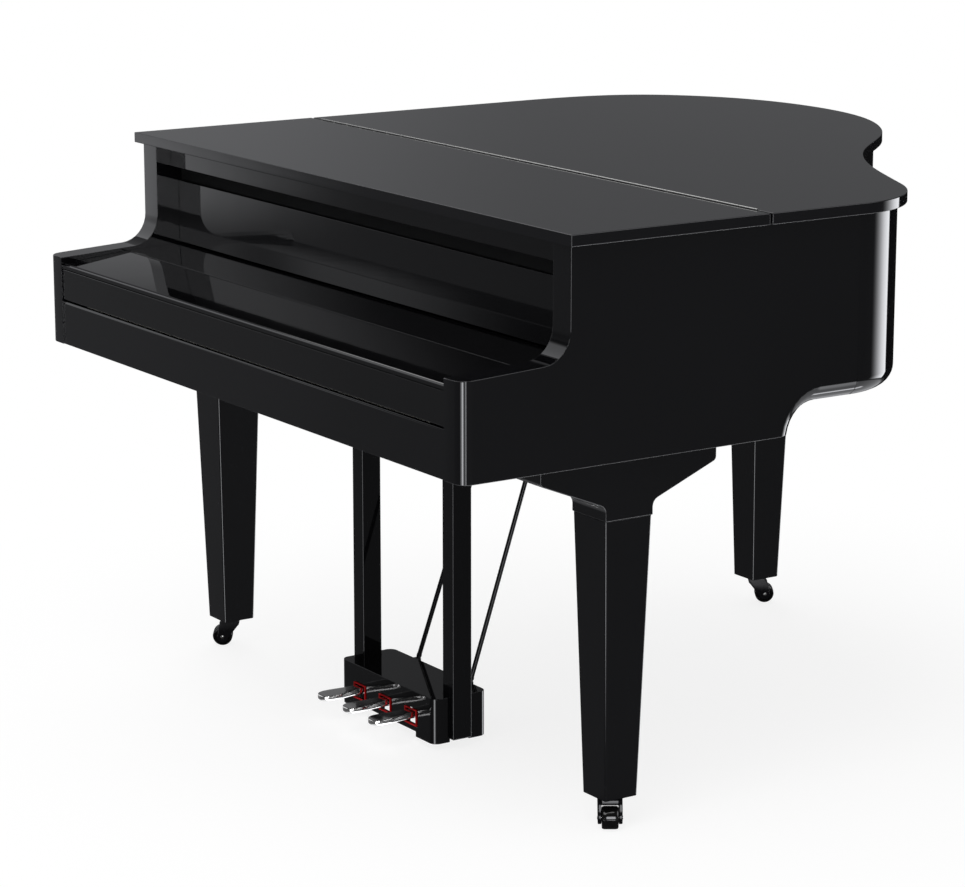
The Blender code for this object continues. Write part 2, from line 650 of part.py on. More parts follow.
def volume_knob():
    bm = bmesh.new()
    put_rod(bm, (*KNOB_XY, KEY_TOP + GAP), (*KNOB_XY, KEY_TOP + GAP + KNOB_HEIGHT), KNOB_R, 20,
            KNOB_R - 0.001)
    knob = from_bmesh("volume_knob", bm, material("volume_knob_black", (0.02, 0.02, 0.02), 0.4))
    pivot(knob, (*KNOB_XY, KEY_TOP))


# Section: lid
def lid_front():
    flap = box("lid_front", (-HALF_LID, LID_FRONT_Y, LID_BOTTOM),
               (HALF_LID, HINGE_Y - LEAF_INSET - GAP, LID_TOP), ebony("lid_front"))
    pivot(flap, (0, HINGE_Y, BARREL_Z))


def lid_main():
    """The main lid, hinged on the bass side, with the bentside and tail curve."""
    front = HINGE_Y + LEAF_INSET + GAP
    points = [(HALF_LID, front)] + curved_edge(0.0) + [(-HALF_LID, front)]
    lid = extruded("lid_main", points, LID_BOTTOM, LID_TOP, ebony("lid_main"))
    pivot(lid, (SIDE_AXIS[0], 0, SIDE_AXIS[1]))


def fold_hinge(name, side, own):
    """One leaf of the long hinge: a thin plate on the lid's edge with every other knuckle."""
    y0, y1 = sorted((HINGE_Y + side * (LEAF_INSET - LEAF_THICK), HINGE_Y + side * LEAF_INSET))
    leaf = box(name, (-HINGE_HALF, y0, LID_BOTTOM + 0.003), (HINGE_HALF, y1, BARREL_Z), nickel(name))
    combine(leaf, cutter(name + "_barrel", lambda bm: put_rod(
        bm, (-HINGE_HALF, HINGE_Y, BARREL_Z), (HINGE_HALF, HINGE_Y, BARREL_Z), BARREL_R, 10)), "UNION")

    def notches(bm):
        knuckle = 2 * HINGE_HALF / KNUCKLES
        for i in range(KNUCKLES):
            if i % 2 != own:
                x = -HINGE_HALF + i * knuckle
                put_box(bm, (x - GAP, HINGE_Y - 0.004, BARREL_Z - 0.0034),
                        (x + knuckle + GAP, HINGE_Y + 0.004, BARREL_Z + 0.004))

    combine(leaf, cutter(name + "_notches", notches))
    pivot(leaf, (0, HINGE_Y, BARREL_Z))


def side_hinge(name, part):
    """The bass side's long hinge under the lid's overhang: a case leaf and a lid leaf."""
    x, z = SIDE_AXIS
    y0, y1 = SIDE_HINGE_Y
    third = (y1 - y0) / 5
    if part == "case":
        leaf = box(name, (-CASE_HALF - 0.0032, y0, z - SIDE_LEAF_DROP), (-CASE_HALF - GAP, y1, z),
                   nickel(name))
        spans = [(y0 + third + GAP, y0 + 2 * third - GAP), (y0 + 3 * third + GAP, y0 + 4 * third - GAP)]
        web = (x, z - 0.0034, -CASE_HALF - 0.0020, z)
    else:
        leaf = box(name, (-HALF_LID + 0.0005, y0, z + 0.0041), (-CASE_HALF - 0.0012, y1, LID_BOTTOM - GAP),
                   nickel(name))
        spans = [(y0, y0 + third - GAP), (y0 + 2 * third + GAP, y0 + 3 * third - GAP),
                 (y0 + 4 * third + GAP, y1)]
        web = (x - 0.0034, z, x, z + 0.0048)

    def barrels(bm):
        for a, b in spans:
            put_rod(bm, (x, a, z), (x, b, z), SIDE_BARREL_R, 10)

    def webs(bm):
        for a, b in spans:
            put_box(bm, (web[0], a, web[1]), (web[2], b, web[3]))

    combine(leaf, cutter(name + "_webs", webs), "UNION")
    combine(leaf, cutter(name + "_barrels", barrels), "UNION")
    if part == "lid":
        pivot(leaf, (x, 0, z))
        return

    def clear(bm):
        for a, b in ((y0, y0 + third), (y0 + 2 * third, y0 + 3 * third), (y0 + 4 * third, y1)):
            put_box(bm, (x - 0.010, a - GAP, z - 0.0042), (x + 0.0042, b + GAP, z + 0.004))

    combine(leaf, cutter(name + "_clear", clear))


def lid_prop():
    """The prop stick, folded flat against the lid's underside, turning about its round end."""
    x, y, z = PROP_PIVOT
    way = Vector((math.cos(PROP_HEADING), math.sin(PROP_HEADING)))
    across = Vector((-way.y, way.x))
    points = []
    for u, v in arc((0, 0), PROP_R, 90, 270, 6):
        points.append((u, v))
    for u, v in arc((PROP_LENGTH - PROP_R, 0), PROP_R, -90, 90, 6):
        points.append((u, v))
    outline = [(x + way.x * u + across.x * v, y + way.y * u + across.y * v) for u, v in points]
    prop = extruded("lid_prop", outline, z - PROP_R, z + PROP_R, ebony("lid_prop"))
    side = Vector((across.x, across.y, 0)) * (PROP_R + 0.004)
    combine(prop, cutter("prop_pin", lambda bm: put_rod(
        bm, Vector(PROP_PIVOT) - side, Vector(PROP_PIVOT) + side, PROP_PIN_R)), "UNION")
    pivot(prop, PROP_PIVOT)


def prop_bracket():
    """The bracket on the lid's underside that holds the prop's pin between two ears."""
    x, y, z = PROP_PIVOT
    turn = Matrix.Translation((x, y, 0)) @ Matrix.Rotation(PROP_HEADING, 4, "Z")
    bm = bmesh.new()
    put_box(bm, (-0.014, -0.0155, z + PROP_CLEAR), (0.014, 0.0155, LID_BOTTOM - GAP))
    bm.transform(turn)
    bracket = from_bmesh("prop_bracket", bm, nickel("prop_bracket"))

    def ears(bm):
        for side in (-1, 1):
            low, high = sorted((side * (PROP_R + 0.0043), side * 0.0145))
            put_box(bm, (-0.006, low, z - 0.006), (0.006, high, z + PROP_CLEAR + 0.001))
        bm.transform(turn)

    combine(bracket, cutter("prop_ears", ears), "UNION")
    pivot(bracket, PROP_PIVOT)


# Section: inside
def music_rest():
    """The music desk, lying flat on the deck, with a low ledge along its front edge."""
    y, z = REST_AXIS
    z -= 0.0007
    points = [(y, z), (y + REST_DEPTH, z), (y + REST_DEPTH, z + REST_THICK),
              (y + REST_LEDGE_THICK, z + REST_THICK), (y + REST_LEDGE_THICK, z + REST_LEDGE),
              (y, z + REST_LEDGE)]
    rest = extruded("music_rest", points, -REST_HALF, REST_HALF, ebony("music_rest"), across="X")
    pivot(rest, (0, *REST_AXIS))


def sound_unit():
    """The tone generator and amplifier in their steel case on the key bed, behind the keys."""
    base = BED_TOP + GAP
    box("sound_unit", (-UNIT_HALF, UNIT_Y[0], base), (UNIT_HALF, UNIT_Y[1], base + UNIT_HEIGHT),
        material("sound_unit_steel", (0.5, 0.5, 0.5), 0.4, 1.0))


def jack_box():
    """The headphone socket box under the key bed, with two open sockets at its front."""
    (x0, x1), (y0, y1), height = JACK_BOX
    x0, x1, y0, y1 = x0 - INNER_HALF, x1 - INNER_HALF, y0 + ARM_FRONT_Y, y1 + ARM_FRONT_Y
    unit = box("jack_box", (x0, y0, CASE_BOTTOM - height), (x1, y1, CASE_BOTTOM - GAP),
               material("jack_box_black", (0.02, 0.02, 0.02), 0.45))

    def sockets(bm):
        z = CASE_BOTTOM - height / 2
        for step in JACK_X:
            x = step - INNER_HALF
            put_rod(bm, (x, y0 - 0.01, z), (x, y0 + 0.03, z), JACK_R)

    combine(unit, cutter("jack_sockets", sockets))


def inlet_box():
    """The power inlet under the key bed, facing the rear."""
    (x0, x1), (y0, y1), height = INLET_BOX
    unit = box("inlet_box", (x0, y0, CASE_BOTTOM - height), (x1, y1, CASE_BOTTOM - GAP),
               material("inlet_box_black", (0.02, 0.02, 0.02), 0.45))
    middle = (x0 + x1) / 2
    combine(unit, cutter("inlet_socket", lambda bm: put_box(
        bm, (middle - 0.012, y1 - 0.018, CASE_BOTTOM - 0.026),
        (middle + 0.012, y1 + 0.010, CASE_BOTTOM - 0.008))))


# Section: legs
def leg(name, x, y, top):
    """A square leg that tapers to its foot."""
    widen = (LEG_TOP_HALF - LEG_FOOT_HALF) / (LEG_TOP - FOOT_Z)
    bm = bmesh.new()
    bmesh.ops.create_cone(bm, cap_ends=True, segments=4, radius1=LEG_FOOT_HALF * math.sqrt(2),
                          radius2=(LEG_FOOT_HALF + widen * (top - FOOT_Z)) * math.sqrt(2),
                          depth=top - FOOT_Z,
                          matrix=Matrix.Translation((x, y, (FOOT_Z + top) / 2))
                          @ Matrix.Rotation(math.pi / 4, 4, "Z"))
    from_bmesh(name, bm, ebony(name))


def corbel(name, side):
    """The winged bracket between a front leg and the case: two sloping wings and a collar."""
    y = FRONT_LEG[1]
    top = CASE_BOTTOM - GAP
    half = [(COLLAR_HALF, COLLAR_Z)]
    half += arc((COLLAR_HALF + 0.016, COLLAR_Z + 0.014), 0.016, 180, 112, 4)
    half += arc((CORBEL_REACH - 0.009, top - CORBEL_END + 0.009), 0.009, -68, 0, 4)
    half += [(CORBEL_REACH, top)]
    points = [(y + u, z) for u, z in half] + [(y - u, z) for u, z in half[::-1]]
    x = side * FRONT_LEG[0]
    extruded(name, points, x - CORBEL_HALF_X, x + CORBEL_HALF_X, ebony(name), across="X")


def tail_leg_plate():
    box("tail_leg_plate", (TAIL_LEG[0] - 0.075, TAIL_LEG[1] - 0.075, TAIL_LEG_TOP + GAP),
        (TAIL_LEG[0] + 0.075, TAIL_LEG[1] + 0.040, REAR_BOARD_BOTTOM - GAP), ebony("tail_leg_plate"))


def caster(where, x, y):
    """A swivel caster under a leg: forked yoke with its axle, and one wheel."""
    yaw = math.radians(CASTER_YAW[where])
    top = FOOT_Z - GAP
    outline = [(-0.0165, top), (-0.0165, 0.0440), (-0.0060, 0.0260), (0.0060, 0.0130),
               (TRAIL + 0.0020, 0.0110), (TRAIL + 0.0095, WHEEL_R), (TRAIL + 0.0110, 0.0330),
               (0.0240, 0.0460), (0.0160, top)]
    fork = extruded("caster_fork_" + where, outline, -0.0145, 0.0145, nickel("fork_" + where), across="X")
    # The outline was read along Y, so the yoke is turned to trail along its own X, then by its yaw.
    place = Matrix.Translation((x, y, 0)) @ Matrix.Rotation(yaw - math.pi / 2, 4, "Z")
    fork.data.transform(place)

    def slot(bm):
        put_box(bm, (-0.0103, -0.030, -0.01), (0.0103, 0.050, 0.0425))
        bm.transform(place)

    def axle(bm):
        put_rod(bm, (-0.0125, TRAIL, WHEEL_R), (0.0125, TRAIL, WHEEL_R), 0.0030)
        bm.transform(place)

    combine(fork, cutter("fork_slot_" + where, slot))
    combine(fork, cutter("fork_axle_" + where, axle), "UNION")
    pivot(fork, (x, y, FOOT_Z))
    upper = [(0.0034, WHEEL_HALF), (0.0110, WHEEL_HALF), (WHEEL_R - 0.0025, WHEEL_HALF),
             (WHEEL_R, WHEEL_HALF - 0.003)]
    profile = upper + [(r, -h) for r, h in upper[::-1]]
    hub = (x + TRAIL * math.cos(yaw), y + TRAIL * math.sin(yaw), WHEEL_R)
    wheel = turned("caster_wheel_" + where, profile, 32,
                   material("caster_wheel_" + where, (0.012, 0.012, 0.012), 0.25),
                   centre=hub, rotation=(math.pi / 2, 0, yaw))
    pivot(wheel, hub)


# Section: lyre
def lyre_post(name, side):
    low, high = sorted((side * POST_X[0], side * POST_X[1]))
    box(name, (low, POST_Y[0], POST_FOOT), (high, POST_Y[1], CASE_BOTTOM - GAP), ebony(name))


def pedal_box():
    """The box that holds the pedals: open below, notched round the posts, slotted in front."""
    top = BOX_Z[2]
    body = box("pedal_box", (-BOX_HALF, BOX_Y[0], BOX_Z[0]), (BOX_HALF, BOX_Y[1], top), ebony("pedal_box"))
    round_edges(body, BOX_CORNER, 4, lambda a, b: abs(a.x - b.x) < 1e-4 and abs(a.y - b.y) < 1e-4
                and a.y < BOX_Y[0] + 1e-4)

    def hollow(bm):
        half = PEDAL_X[-1] + RIB[1] + 0.0105
        put_box(bm, (-half, BOX_Y[0] + BOX_WALL, -0.01), (half, BOX_Y[1] - BOX_WALL, top - BOX_WALL))

    def lower_edge(bm):
        put_box(bm, (-BOX_FOOT_X, BOX_Y[0] - 0.01, -0.01), (BOX_FOOT_X, BOX_Y[1] + 0.01, BOX_Z[1]))

    def notches(bm):
        for side in (-1, 1):
            low, high = sorted((side * (POST_X[0] - GAP), side * 0.20))
            put_box(bm, (low, POST_Y[0] - GAP, -0.01), (high, POST_Y[1] + GAP, top + 0.02))

    def slots(bm):
        for x in PEDAL_X:
            put_box(bm, (x - FELT[0] - GAP, BOX_Y[0] - 0.01, FELT[1] - GAP),
                    (x + FELT[0] + GAP, BOX_Y[0] + BOX_WALL + 0.005, FELT[2] + GAP))

    def ribs(bm):
        for x in PEDAL_X:
            for side in (-1, 1):
                low, high = sorted((x + side * RIB[0], x + side * RIB[1]))
                put_box(bm, (low, PEDAL_AXIS[0] - 0.009, PEDAL_AXIS[1] - 0.010),
                        (high, PEDAL_AXIS[0] + 0.009, top - BOX_WALL / 2))

    combine(body, cutter("box_hollow", hollow))
    combine(body, cutter("box_lower_edge", lower_edge))
    combine(body, cutter("box_notches", notches))
    combine(body, cutter("box_slots", slots))
    combine(body, cutter("box_ribs", ribs), "UNION")


def pedal(name, x):
    """A pedal: narrow shank inside the box, wide round toe in front, on a cross pin."""
    y0, tip = PEDAL_AXIS[0] + 0.010, PEDAL_TIP_Y
    right = [(PEDAL_SHANK, y0), (PEDAL_SHANK, tip + 0.075), (PEDAL_SHANK + 0.003, tip + 0.057),
             (PEDAL_TOE - 0.001, tip + 0.037), (PEDAL_TOE, tip + 0.023)]
    toe = arc((0, tip + PEDAL_TOE), PEDAL_TOE, 0, -180, 10)
    left = [(-u, v) for u, v in right[::-1]]
    points = [(x + u, v) for u, v in right + toe + left]
    arm = extruded(name, points[::-1], *PEDAL_Z, nickel(name))
    combine(arm, cutter(name + "_pin", lambda bm: put_rod(
        bm, (x - RIB[0] + GAP, *PEDAL_AXIS), (x + RIB[0] - GAP, *PEDAL_AXIS), PEDAL_PIN_R)), "UNION")
    pivot(arm, (x, *PEDAL_AXIS))


def pedal_felt(name, x):
    """The red felt collar round a pedal's slot."""
    half, low, high, thick = FELT
    collar = box(name, (x - half, BOX_Y[0] - FELT_PROUD, low), (x + half, BOX_Y[0] + BOX_WALL, high),
                 material(name, (0.55, 0.01, 0.01), 0.9))
    combine(collar, cutter(name + "_way", lambda bm: put_box(
        bm, (x - half + thick, BOX_Y[0] - 0.02, low + thick),
        (x + half - thick, BOX_Y[0] + 0.04, high - thick))))


def brace_rod(name, side):
    """A slim steel rod from the back of the pedal box up to the key bed."""
    foot, head = (Vector((side * end[0], *end[1:])) for end in (ROD_FOOT, ROD_HEAD))
    rod = box(name, (foot.x - 0.007, BOX_Y[1] + GAP, foot.z - 0.010),
              (foot.x + 0.007, foot.y + 0.0058, foot.z + 0.010), nickel(name))
    combine(rod, cutter(name + "_bar", lambda bm: put_rod(bm, foot, head, ROD_R, 10)), "UNION")
    combine(rod, cutter(name + "_plate", lambda bm: put_box(
        bm, (head.x - 0.011, head.y - 0.0155, CASE_BOTTOM - 0.0045),
        (head.x + 0.011, head.y + 0.0155, CASE_BOTTOM - GAP))), "UNION")


# Section: assembly
side_panel("bass_side_panel", -1)
side_panel("treble_side_panel", 1)
curved_rim()
key_bed()
rear_bottom_board()
cross_board()
inner_deck()
soundboard()
for speaker_name in SPEAKERS:
    speaker(speaker_name)
front_beam()
grille_strip()
fallboard_panel()
cover_strip()
name_rail()
key_slip()
key_cover()
cover_lip()
white_keys()
black_keys()
key_frame()
key_block("bass_key_block", -1)
key_block("treble_key_block", 1)
power_button()
volume_knob()
lid_front()
lid_main()
fold_hinge("fold_hinge_front_leaf", -1, 0)
fold_hinge("fold_hinge_main_leaf", 1, 1)
side_hinge("side_hinge_case_leaf", "case")
side_hinge("side_hinge_lid_leaf", "lid")
lid_prop()
prop_bracket()
music_rest()
sound_unit()
jack_box()
inlet_box()
leg("bass_leg", -FRONT_LEG[0], FRONT_LEG[1], LEG_TOP)
leg("treble_leg", FRONT_LEG[0], FRONT_LEG[1], LEG_TOP)
leg("tail_leg", *TAIL_LEG, TAIL_LEG_TOP)
corbel("bass_corbel", -1)
corbel("treble_corbel", 1)
tail_leg_plate()
caster("bass", -FRONT_LEG[0], FRONT_LEG[1])
caster("treble", *FRONT_LEG)
caster("tail", *TAIL_LEG)
lyre_post("bass_lyre_post", -1)
lyre_post("treble_lyre_post", 1)
pedal_box()
for pedal_name, pedal_x in zip(("soft", "sostenuto", "damper"), PEDAL_X):
    pedal(pedal_name + "_pedal", pedal_x)
    pedal_felt(pedal_name + "_felt", pedal_x)
brace_rod("bass_brace_rod", -1)
brace_rod("treble_brace_rod", 1)
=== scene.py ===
# %% [markdown]
# A digital grand piano in polished black, seen from the treble side with its lid and key cover shut.
# The engineering model comes in first as a fixed frame. Every visible piece is then made or finished
# around it, so each one sits exactly where the moving parts expect it.
# %% Load the frame
import json
import math

import bpy
from mathutils import Matrix, Vector


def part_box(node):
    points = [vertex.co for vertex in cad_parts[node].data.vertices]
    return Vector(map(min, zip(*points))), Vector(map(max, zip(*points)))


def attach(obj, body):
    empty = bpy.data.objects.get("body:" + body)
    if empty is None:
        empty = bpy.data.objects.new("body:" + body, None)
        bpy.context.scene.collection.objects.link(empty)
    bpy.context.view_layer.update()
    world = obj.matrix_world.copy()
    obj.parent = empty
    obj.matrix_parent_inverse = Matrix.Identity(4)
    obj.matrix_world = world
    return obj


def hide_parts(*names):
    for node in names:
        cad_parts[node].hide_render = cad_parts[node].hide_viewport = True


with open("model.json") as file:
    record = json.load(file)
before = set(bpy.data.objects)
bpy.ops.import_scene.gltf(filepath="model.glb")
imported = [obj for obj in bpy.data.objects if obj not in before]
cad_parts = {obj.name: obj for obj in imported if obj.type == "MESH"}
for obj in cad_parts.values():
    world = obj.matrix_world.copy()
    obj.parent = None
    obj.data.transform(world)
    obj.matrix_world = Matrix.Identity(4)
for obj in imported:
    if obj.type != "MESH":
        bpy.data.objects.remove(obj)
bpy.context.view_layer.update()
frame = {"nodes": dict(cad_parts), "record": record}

PHOTO_SIZE = (965, 887)
nodes = frame["nodes"]
body_of = {node: body for body, own in frame["record"]["behaviour"]["bodies"].items() for node in own}

# %% [markdown]
# The picture was taken with a long lens from the front right, a little above the lid. The camera's place
# was solved from straight edges of the case, so no shift or tilt correction is needed.
# %% Camera
CAMERA_PLACE = (5.0239, -3.5884, 1.9069)
CAMERA_AZIMUTH, CAMERA_DOWN = 56.481, 12.931
SENSOR_WIDTH, LENS, VIEW_END = 36.0, 123.175, 100.0
bpy.ops.object.camera_add(location=CAMERA_PLACE,
                          rotation=(math.radians(90 - CAMERA_DOWN), 0, math.radians(CAMERA_AZIMUTH)))
camera = bpy.context.object
camera.name = "photo_camera"
camera.data.sensor_width = SENSOR_WIDTH
camera.data.lens = LENS
camera.data.clip_end = VIEW_END
bpy.context.scene.camera = camera
bpy.context.scene.view_settings.view_transform = "Standard"
print("frame", PHOTO_SIZE, "lens", round(LENS, 1), "mm")

# %% [markdown]
# Small helpers stand for what a hand does over and over: select one piece, open and close edit mode, and put
# a piece's place into its mesh, so that its object stays at the origin as every CAD node's does.
# %% Helpers for selecting
def select_none():
    bpy.ops.object.select_all(action="DESELECT")


def select_whole():
    """The whole mesh that is being edited."""
    bpy.ops.mesh.select_all(action="SELECT")


def solo(piece):
    """Only this piece is selected and active."""
    select_none()
    piece.select_set(True)
    bpy.context.view_layer.objects.active = piece
    return piece


def settle(piece):
    """Puts the place, turn and size of a piece into its mesh."""
    solo(piece)
    bpy.ops.object.transform_apply(location=True, rotation=True, scale=True)
    return piece


def edit(kind):
    """Opens edit mode for vertices, edges or faces."""
    bpy.context.tool_settings.mesh_select_mode = tuple(kind == k for k in ("VERT", "EDGE", "FACE"))
    bpy.ops.object.mode_set(mode="EDIT")


def done():
    bpy.ops.object.mode_set(mode="OBJECT")


# %% [markdown]
# A script can't click, so vertices, edges and faces are picked by their place or direction. A test is asked
# about each of them, and those that pass are marked before edit mode opens.
# %% Helpers for picking
def unmark(mesh):
    for part in (mesh.vertices, mesh.edges, mesh.polygons):
        part.foreach_set("select", [False] * len(part))


def mark(mesh, part):
    """Marks one vertex, edge or face, and the corners of an edge or face."""
    part.select = True
    for i in getattr(part, "vertices", ()):
        mesh.vertices[i].select = True


def pick(piece, kind, test):
    """Selects the vertices, edges or faces of a piece that pass the test, and leaves it in edit mode."""
    solo(piece)
    mesh = piece.data
    unmark(mesh)
    spots = [v.co for v in mesh.vertices]
    if kind == "VERT":
        chosen = [v for v in mesh.vertices if test(v.co)]
    elif kind == "EDGE":
        chosen = [e for e in mesh.edges if test(*(spots[i] for i in e.vertices))]
    else:
        chosen = [f for f in mesh.polygons if test(f.center, f.normal)]
    for part in chosen:
        mark(mesh, part)
    edit(kind)
    return len(chosen)


# %% [markdown]
# Lacquered edges are never knife sharp. A rounding of a millimetre or so catches the thin light lines that
# draw the case in the picture. The flat faces must stay optically flat, so the normals are weighted by area.
# %% Helpers for rounding
SHARP = math.radians(35)


def smooth(piece, angle=40):
    solo(piece)
    bpy.ops.object.shade_smooth_by_angle(angle=math.radians(angle))
    flat = piece.modifiers.new("flat faces", "WEIGHTED_NORMAL")
    flat.keep_sharp = True
    bpy.ops.object.modifier_apply(modifier=flat.name)
    return piece


def soften(piece, width, segments=3, skip=None):
    """Rounds the sharp edges of a piece, apart from those that the test skips."""
    solo(piece)
    edit("EDGE")
    bpy.ops.mesh.select_all(action="DESELECT")
    bpy.ops.mesh.edges_select_sharp(sharpness=SHARP)
    done()
    mesh = piece.data
    spots = [v.co for v in mesh.vertices]
    sharp = [e for e in mesh.edges if e.select and not (skip and skip(*(spots[i] for i in e.vertices)))]
    if sharp:
        unmark(mesh)
        for edge in sharp:
            mark(mesh, edge)
        edit("EDGE")
        bpy.ops.mesh.bevel(offset=width, offset_type="OFFSET", segments=segments, affect="EDGES",
                           clamp_overlap=True, miter_outer="SHARP")
        done()
    return smooth(piece)


def round_picked(radius, segments=6):
    """Gives the picked edges a larger rounding, and closes edit mode."""
    bpy.ops.mesh.bevel(offset=radius, segments=segments, affect="EDGES", clamp_overlap=False)
    done()


# %% [markdown]
# Every new piece grows from a primitive. A board comes from a cube, or from an outline that is filled and
# extruded. A rod comes from a cylinder, and a round piece from a profile that is spun about its axis.
# %% Helpers for first shapes
SEAM = 2e-6


def block(name, low, high):
    """A cube added at its size and place, ready to be shaped."""
    middle = [(a + b) / 2 for a, b in zip(low, high)]
    select_none()
    bpy.ops.mesh.primitive_cube_add(size=1, location=middle, scale=[b - a for a, b in zip(low, high)])
    piece = bpy.context.object
    piece.name = name
    return settle(piece)


def bar(name, start, end, radius, sides=24):
    """A cylinder added between two points."""
    start, end = Vector(start), Vector(end)
    select_none()
    bpy.ops.mesh.primitive_cylinder_add(vertices=sides, radius=radius, depth=(end - start).length,
                                        location=(start + end) / 2)
    piece = bpy.context.object
    piece.name = name
    piece.rotation_euler = (end - start).to_track_quat("Z", "Y").to_euler()
    return settle(piece)


def line(name, points):
    """A chain of edges, extruded point by point from a plane merged into one vertex."""
    select_none()
    bpy.ops.mesh.primitive_plane_add(size=0.001, location=points[0])
    piece = bpy.context.object
    piece.name = name
    settle(piece)
    edit("VERT")
    select_whole()
    bpy.ops.mesh.merge(type="CENTER")
    for a, b in zip(points, points[1:]):
        step = Vector(b) - Vector(a)
        bpy.ops.mesh.extrude_region_move(TRANSFORM_OT_translate={"value": tuple(step)})
    return piece


def sheet_cut(name, points, push):
    """An outline filled with a face and extruded straight to a solid board."""
    piece = line(name, points)
    select_whole()
    bpy.ops.mesh.edge_face_add()
    bpy.ops.mesh.extrude_region_move(TRANSFORM_OT_translate={"value": push})
    select_whole()
    bpy.ops.mesh.normals_make_consistent(inside=False)
    done()
    return piece


def lathe(name, profile, centre, axis=(0, 0, 1), steps=48):
    """A profile of (radius, height) spun about a line through the centre."""
    piece = line(name, [(r, 0, h) for r, h in profile])
    select_whole()
    bpy.ops.mesh.spin(steps=steps, angle=math.tau, center=(0, 0, 0), axis=(0, 0, 1))
    select_whole()
    bpy.ops.mesh.remove_doubles(threshold=SEAM)
    bpy.ops.mesh.normals_make_consistent(inside=False)
    done()
    piece.rotation_euler = Vector(axis).to_track_quat("Z", "Y").to_euler()
    piece.location = centre
    return settle(piece)


# %% [markdown]
# What repeats is modelled once: a copy gets a mesh of its own, and an array makes a straight row. A board of
# the engineering model arrives as loose triangles, so a copy of it is merged into whole faces first.
# %% Helpers for joining and copying
MERGE, SAME_PLANE = 1e-5, 0.0015


def join(pieces, name):
    solo(pieces[0])
    for other in pieces[1:]:
        other.select_set(True)
    bpy.ops.object.join()
    pieces[0].name = name
    return pieces[0]


def copy_to(model, name, place):
    """A copy with its own mesh, brought to its place and turn."""
    piece = bpy.data.objects.new(name, model.data.copy())
    bpy.context.scene.collection.objects.link(piece)
    piece.matrix_world = place
    return settle(piece)


def repeat(piece, count, step):
    """A row of the piece along X, made by an array."""
    row = piece.modifiers.new("row", "ARRAY")
    row.use_relative_offset = False
    row.use_constant_offset = True
    row.constant_offset_displace = (step, 0, 0)
    row.count = count
    solo(piece)
    bpy.ops.object.modifier_apply(modifier=row.name)
    return piece


def mended(node, name):
    """A copy of a CAD node's mesh with its loose triangles merged back into whole faces."""
    piece = copy_to(nodes[node], name, Matrix())
    bpy.ops.object.mode_set(mode="EDIT")
    select_whole()
    bpy.ops.mesh.remove_doubles(threshold=MERGE)
    bpy.ops.mesh.dissolve_limited(angle_limit=SAME_PLANE)
    done()
    return piece


# %% [markdown]
# Materials come before the pieces, so each piece can be given its finish when it is made. All patterns read
# Object coordinates: the pieces sit at the origin, so a pattern keeps its size and place in every pose.
# %% Helpers for finishes
finishes = {}


class Finish:
    """A material with one main shader and a few short ways to drive it."""

    def __init__(self, name, colour, roughness, metallic=0.0):
        material = bpy.data.materials.new(name)
        material.use_nodes = True
        self.tree = material.node_tree
        self.shader = self.tree.nodes["Principled BSDF"]
        self.coords = self.tree.nodes.new("ShaderNodeTexCoord").outputs["Object"]
        self.set("Base Color", (*colour, 1))
        self.set("Roughness", roughness)
        self.set("Metallic", metallic)
        self.set("IOR", 1.5)
        finishes[name] = material

    def set(self, key, value):
        self.shader.inputs[key].default_value = value

    def add(self, kind, values, coords=None):
        """A new pattern node with its constants, fed by the coordinates."""
        node = self.tree.nodes.new(kind)
        for key, value in values.items():
            node.inputs[key].default_value = value
        self.tree.links.new(coords or self.coords, node.inputs["Vector"])
        return node

    def stretch(self, scale, turn=(0, 0, 0)):
        return self.add("ShaderNodeMapping", {"Scale": scale, "Rotation": turn}).outputs["Vector"]

    def noise(self, scale, detail=3.0, rough=0.5, coords=None):
        values = {"Scale": scale, "Detail": detail, "Roughness": rough}
        return self.add("ShaderNodeTexNoise", values, coords).outputs["Fac"]

    def wave(self, scale, distortion, direction, coords=None):
        node = self.add("ShaderNodeTexWave", {"Scale": scale, "Distortion": distortion, "Detail": 2.0}, coords)
        node.wave_type = "BANDS"
        node.bands_direction = direction
        return node.outputs["Fac"]

    def cells(self, scale):
        return self.add("ShaderNodeTexVoronoi", {"Scale": scale}).outputs["Distance"]

    def ramp(self, factor, stops):
        node = self.tree.nodes.new("ShaderNodeValToRGB")
        node.color_ramp.elements[0].position = stops[0][0]
        node.color_ramp.elements[0].color = (*stops[0][1], 1)
        node.color_ramp.elements[1].position = stops[-1][0]
        node.color_ramp.elements[1].color = (*stops[-1][1], 1)
        for at, colour in stops[1:-1]:
            node.color_ramp.elements.new(at).color = (*colour, 1)
        self.tree.links.new(factor, node.inputs["Fac"])
        return node.outputs["Color"]

    def spread(self, factor, low, high, start=0.3, end=0.7):
        node = self.tree.nodes.new("ShaderNodeMapRange")
        for key, value in (("From Min", start), ("From Max", end), ("To Min", low), ("To Max", high)):
            node.inputs[key].default_value = value
        self.tree.links.new(factor, node.inputs["Value"])
        return node.outputs["Result"]

    def both(self, a, b, operation):
        node = self.tree.nodes.new("ShaderNodeMath")
        node.operation = operation
        self.tree.links.new(a, node.inputs[0])
        self.tree.links.new(b, node.inputs[1])
        return node.outputs[0]

    def use(self, socket, key):
        self.tree.links.new(socket, self.shader.inputs[key])

    def bump(self, height, distance, strength=1.0):
        node = self.tree.nodes.new("ShaderNodeBump")
        node.inputs["Distance"].default_value = distance
        node.inputs["Strength"].default_value = strength
        self.tree.links.new(height, node.inputs["Height"])
        self.tree.links.new(node.outputs["Normal"], self.shader.inputs["Normal"])


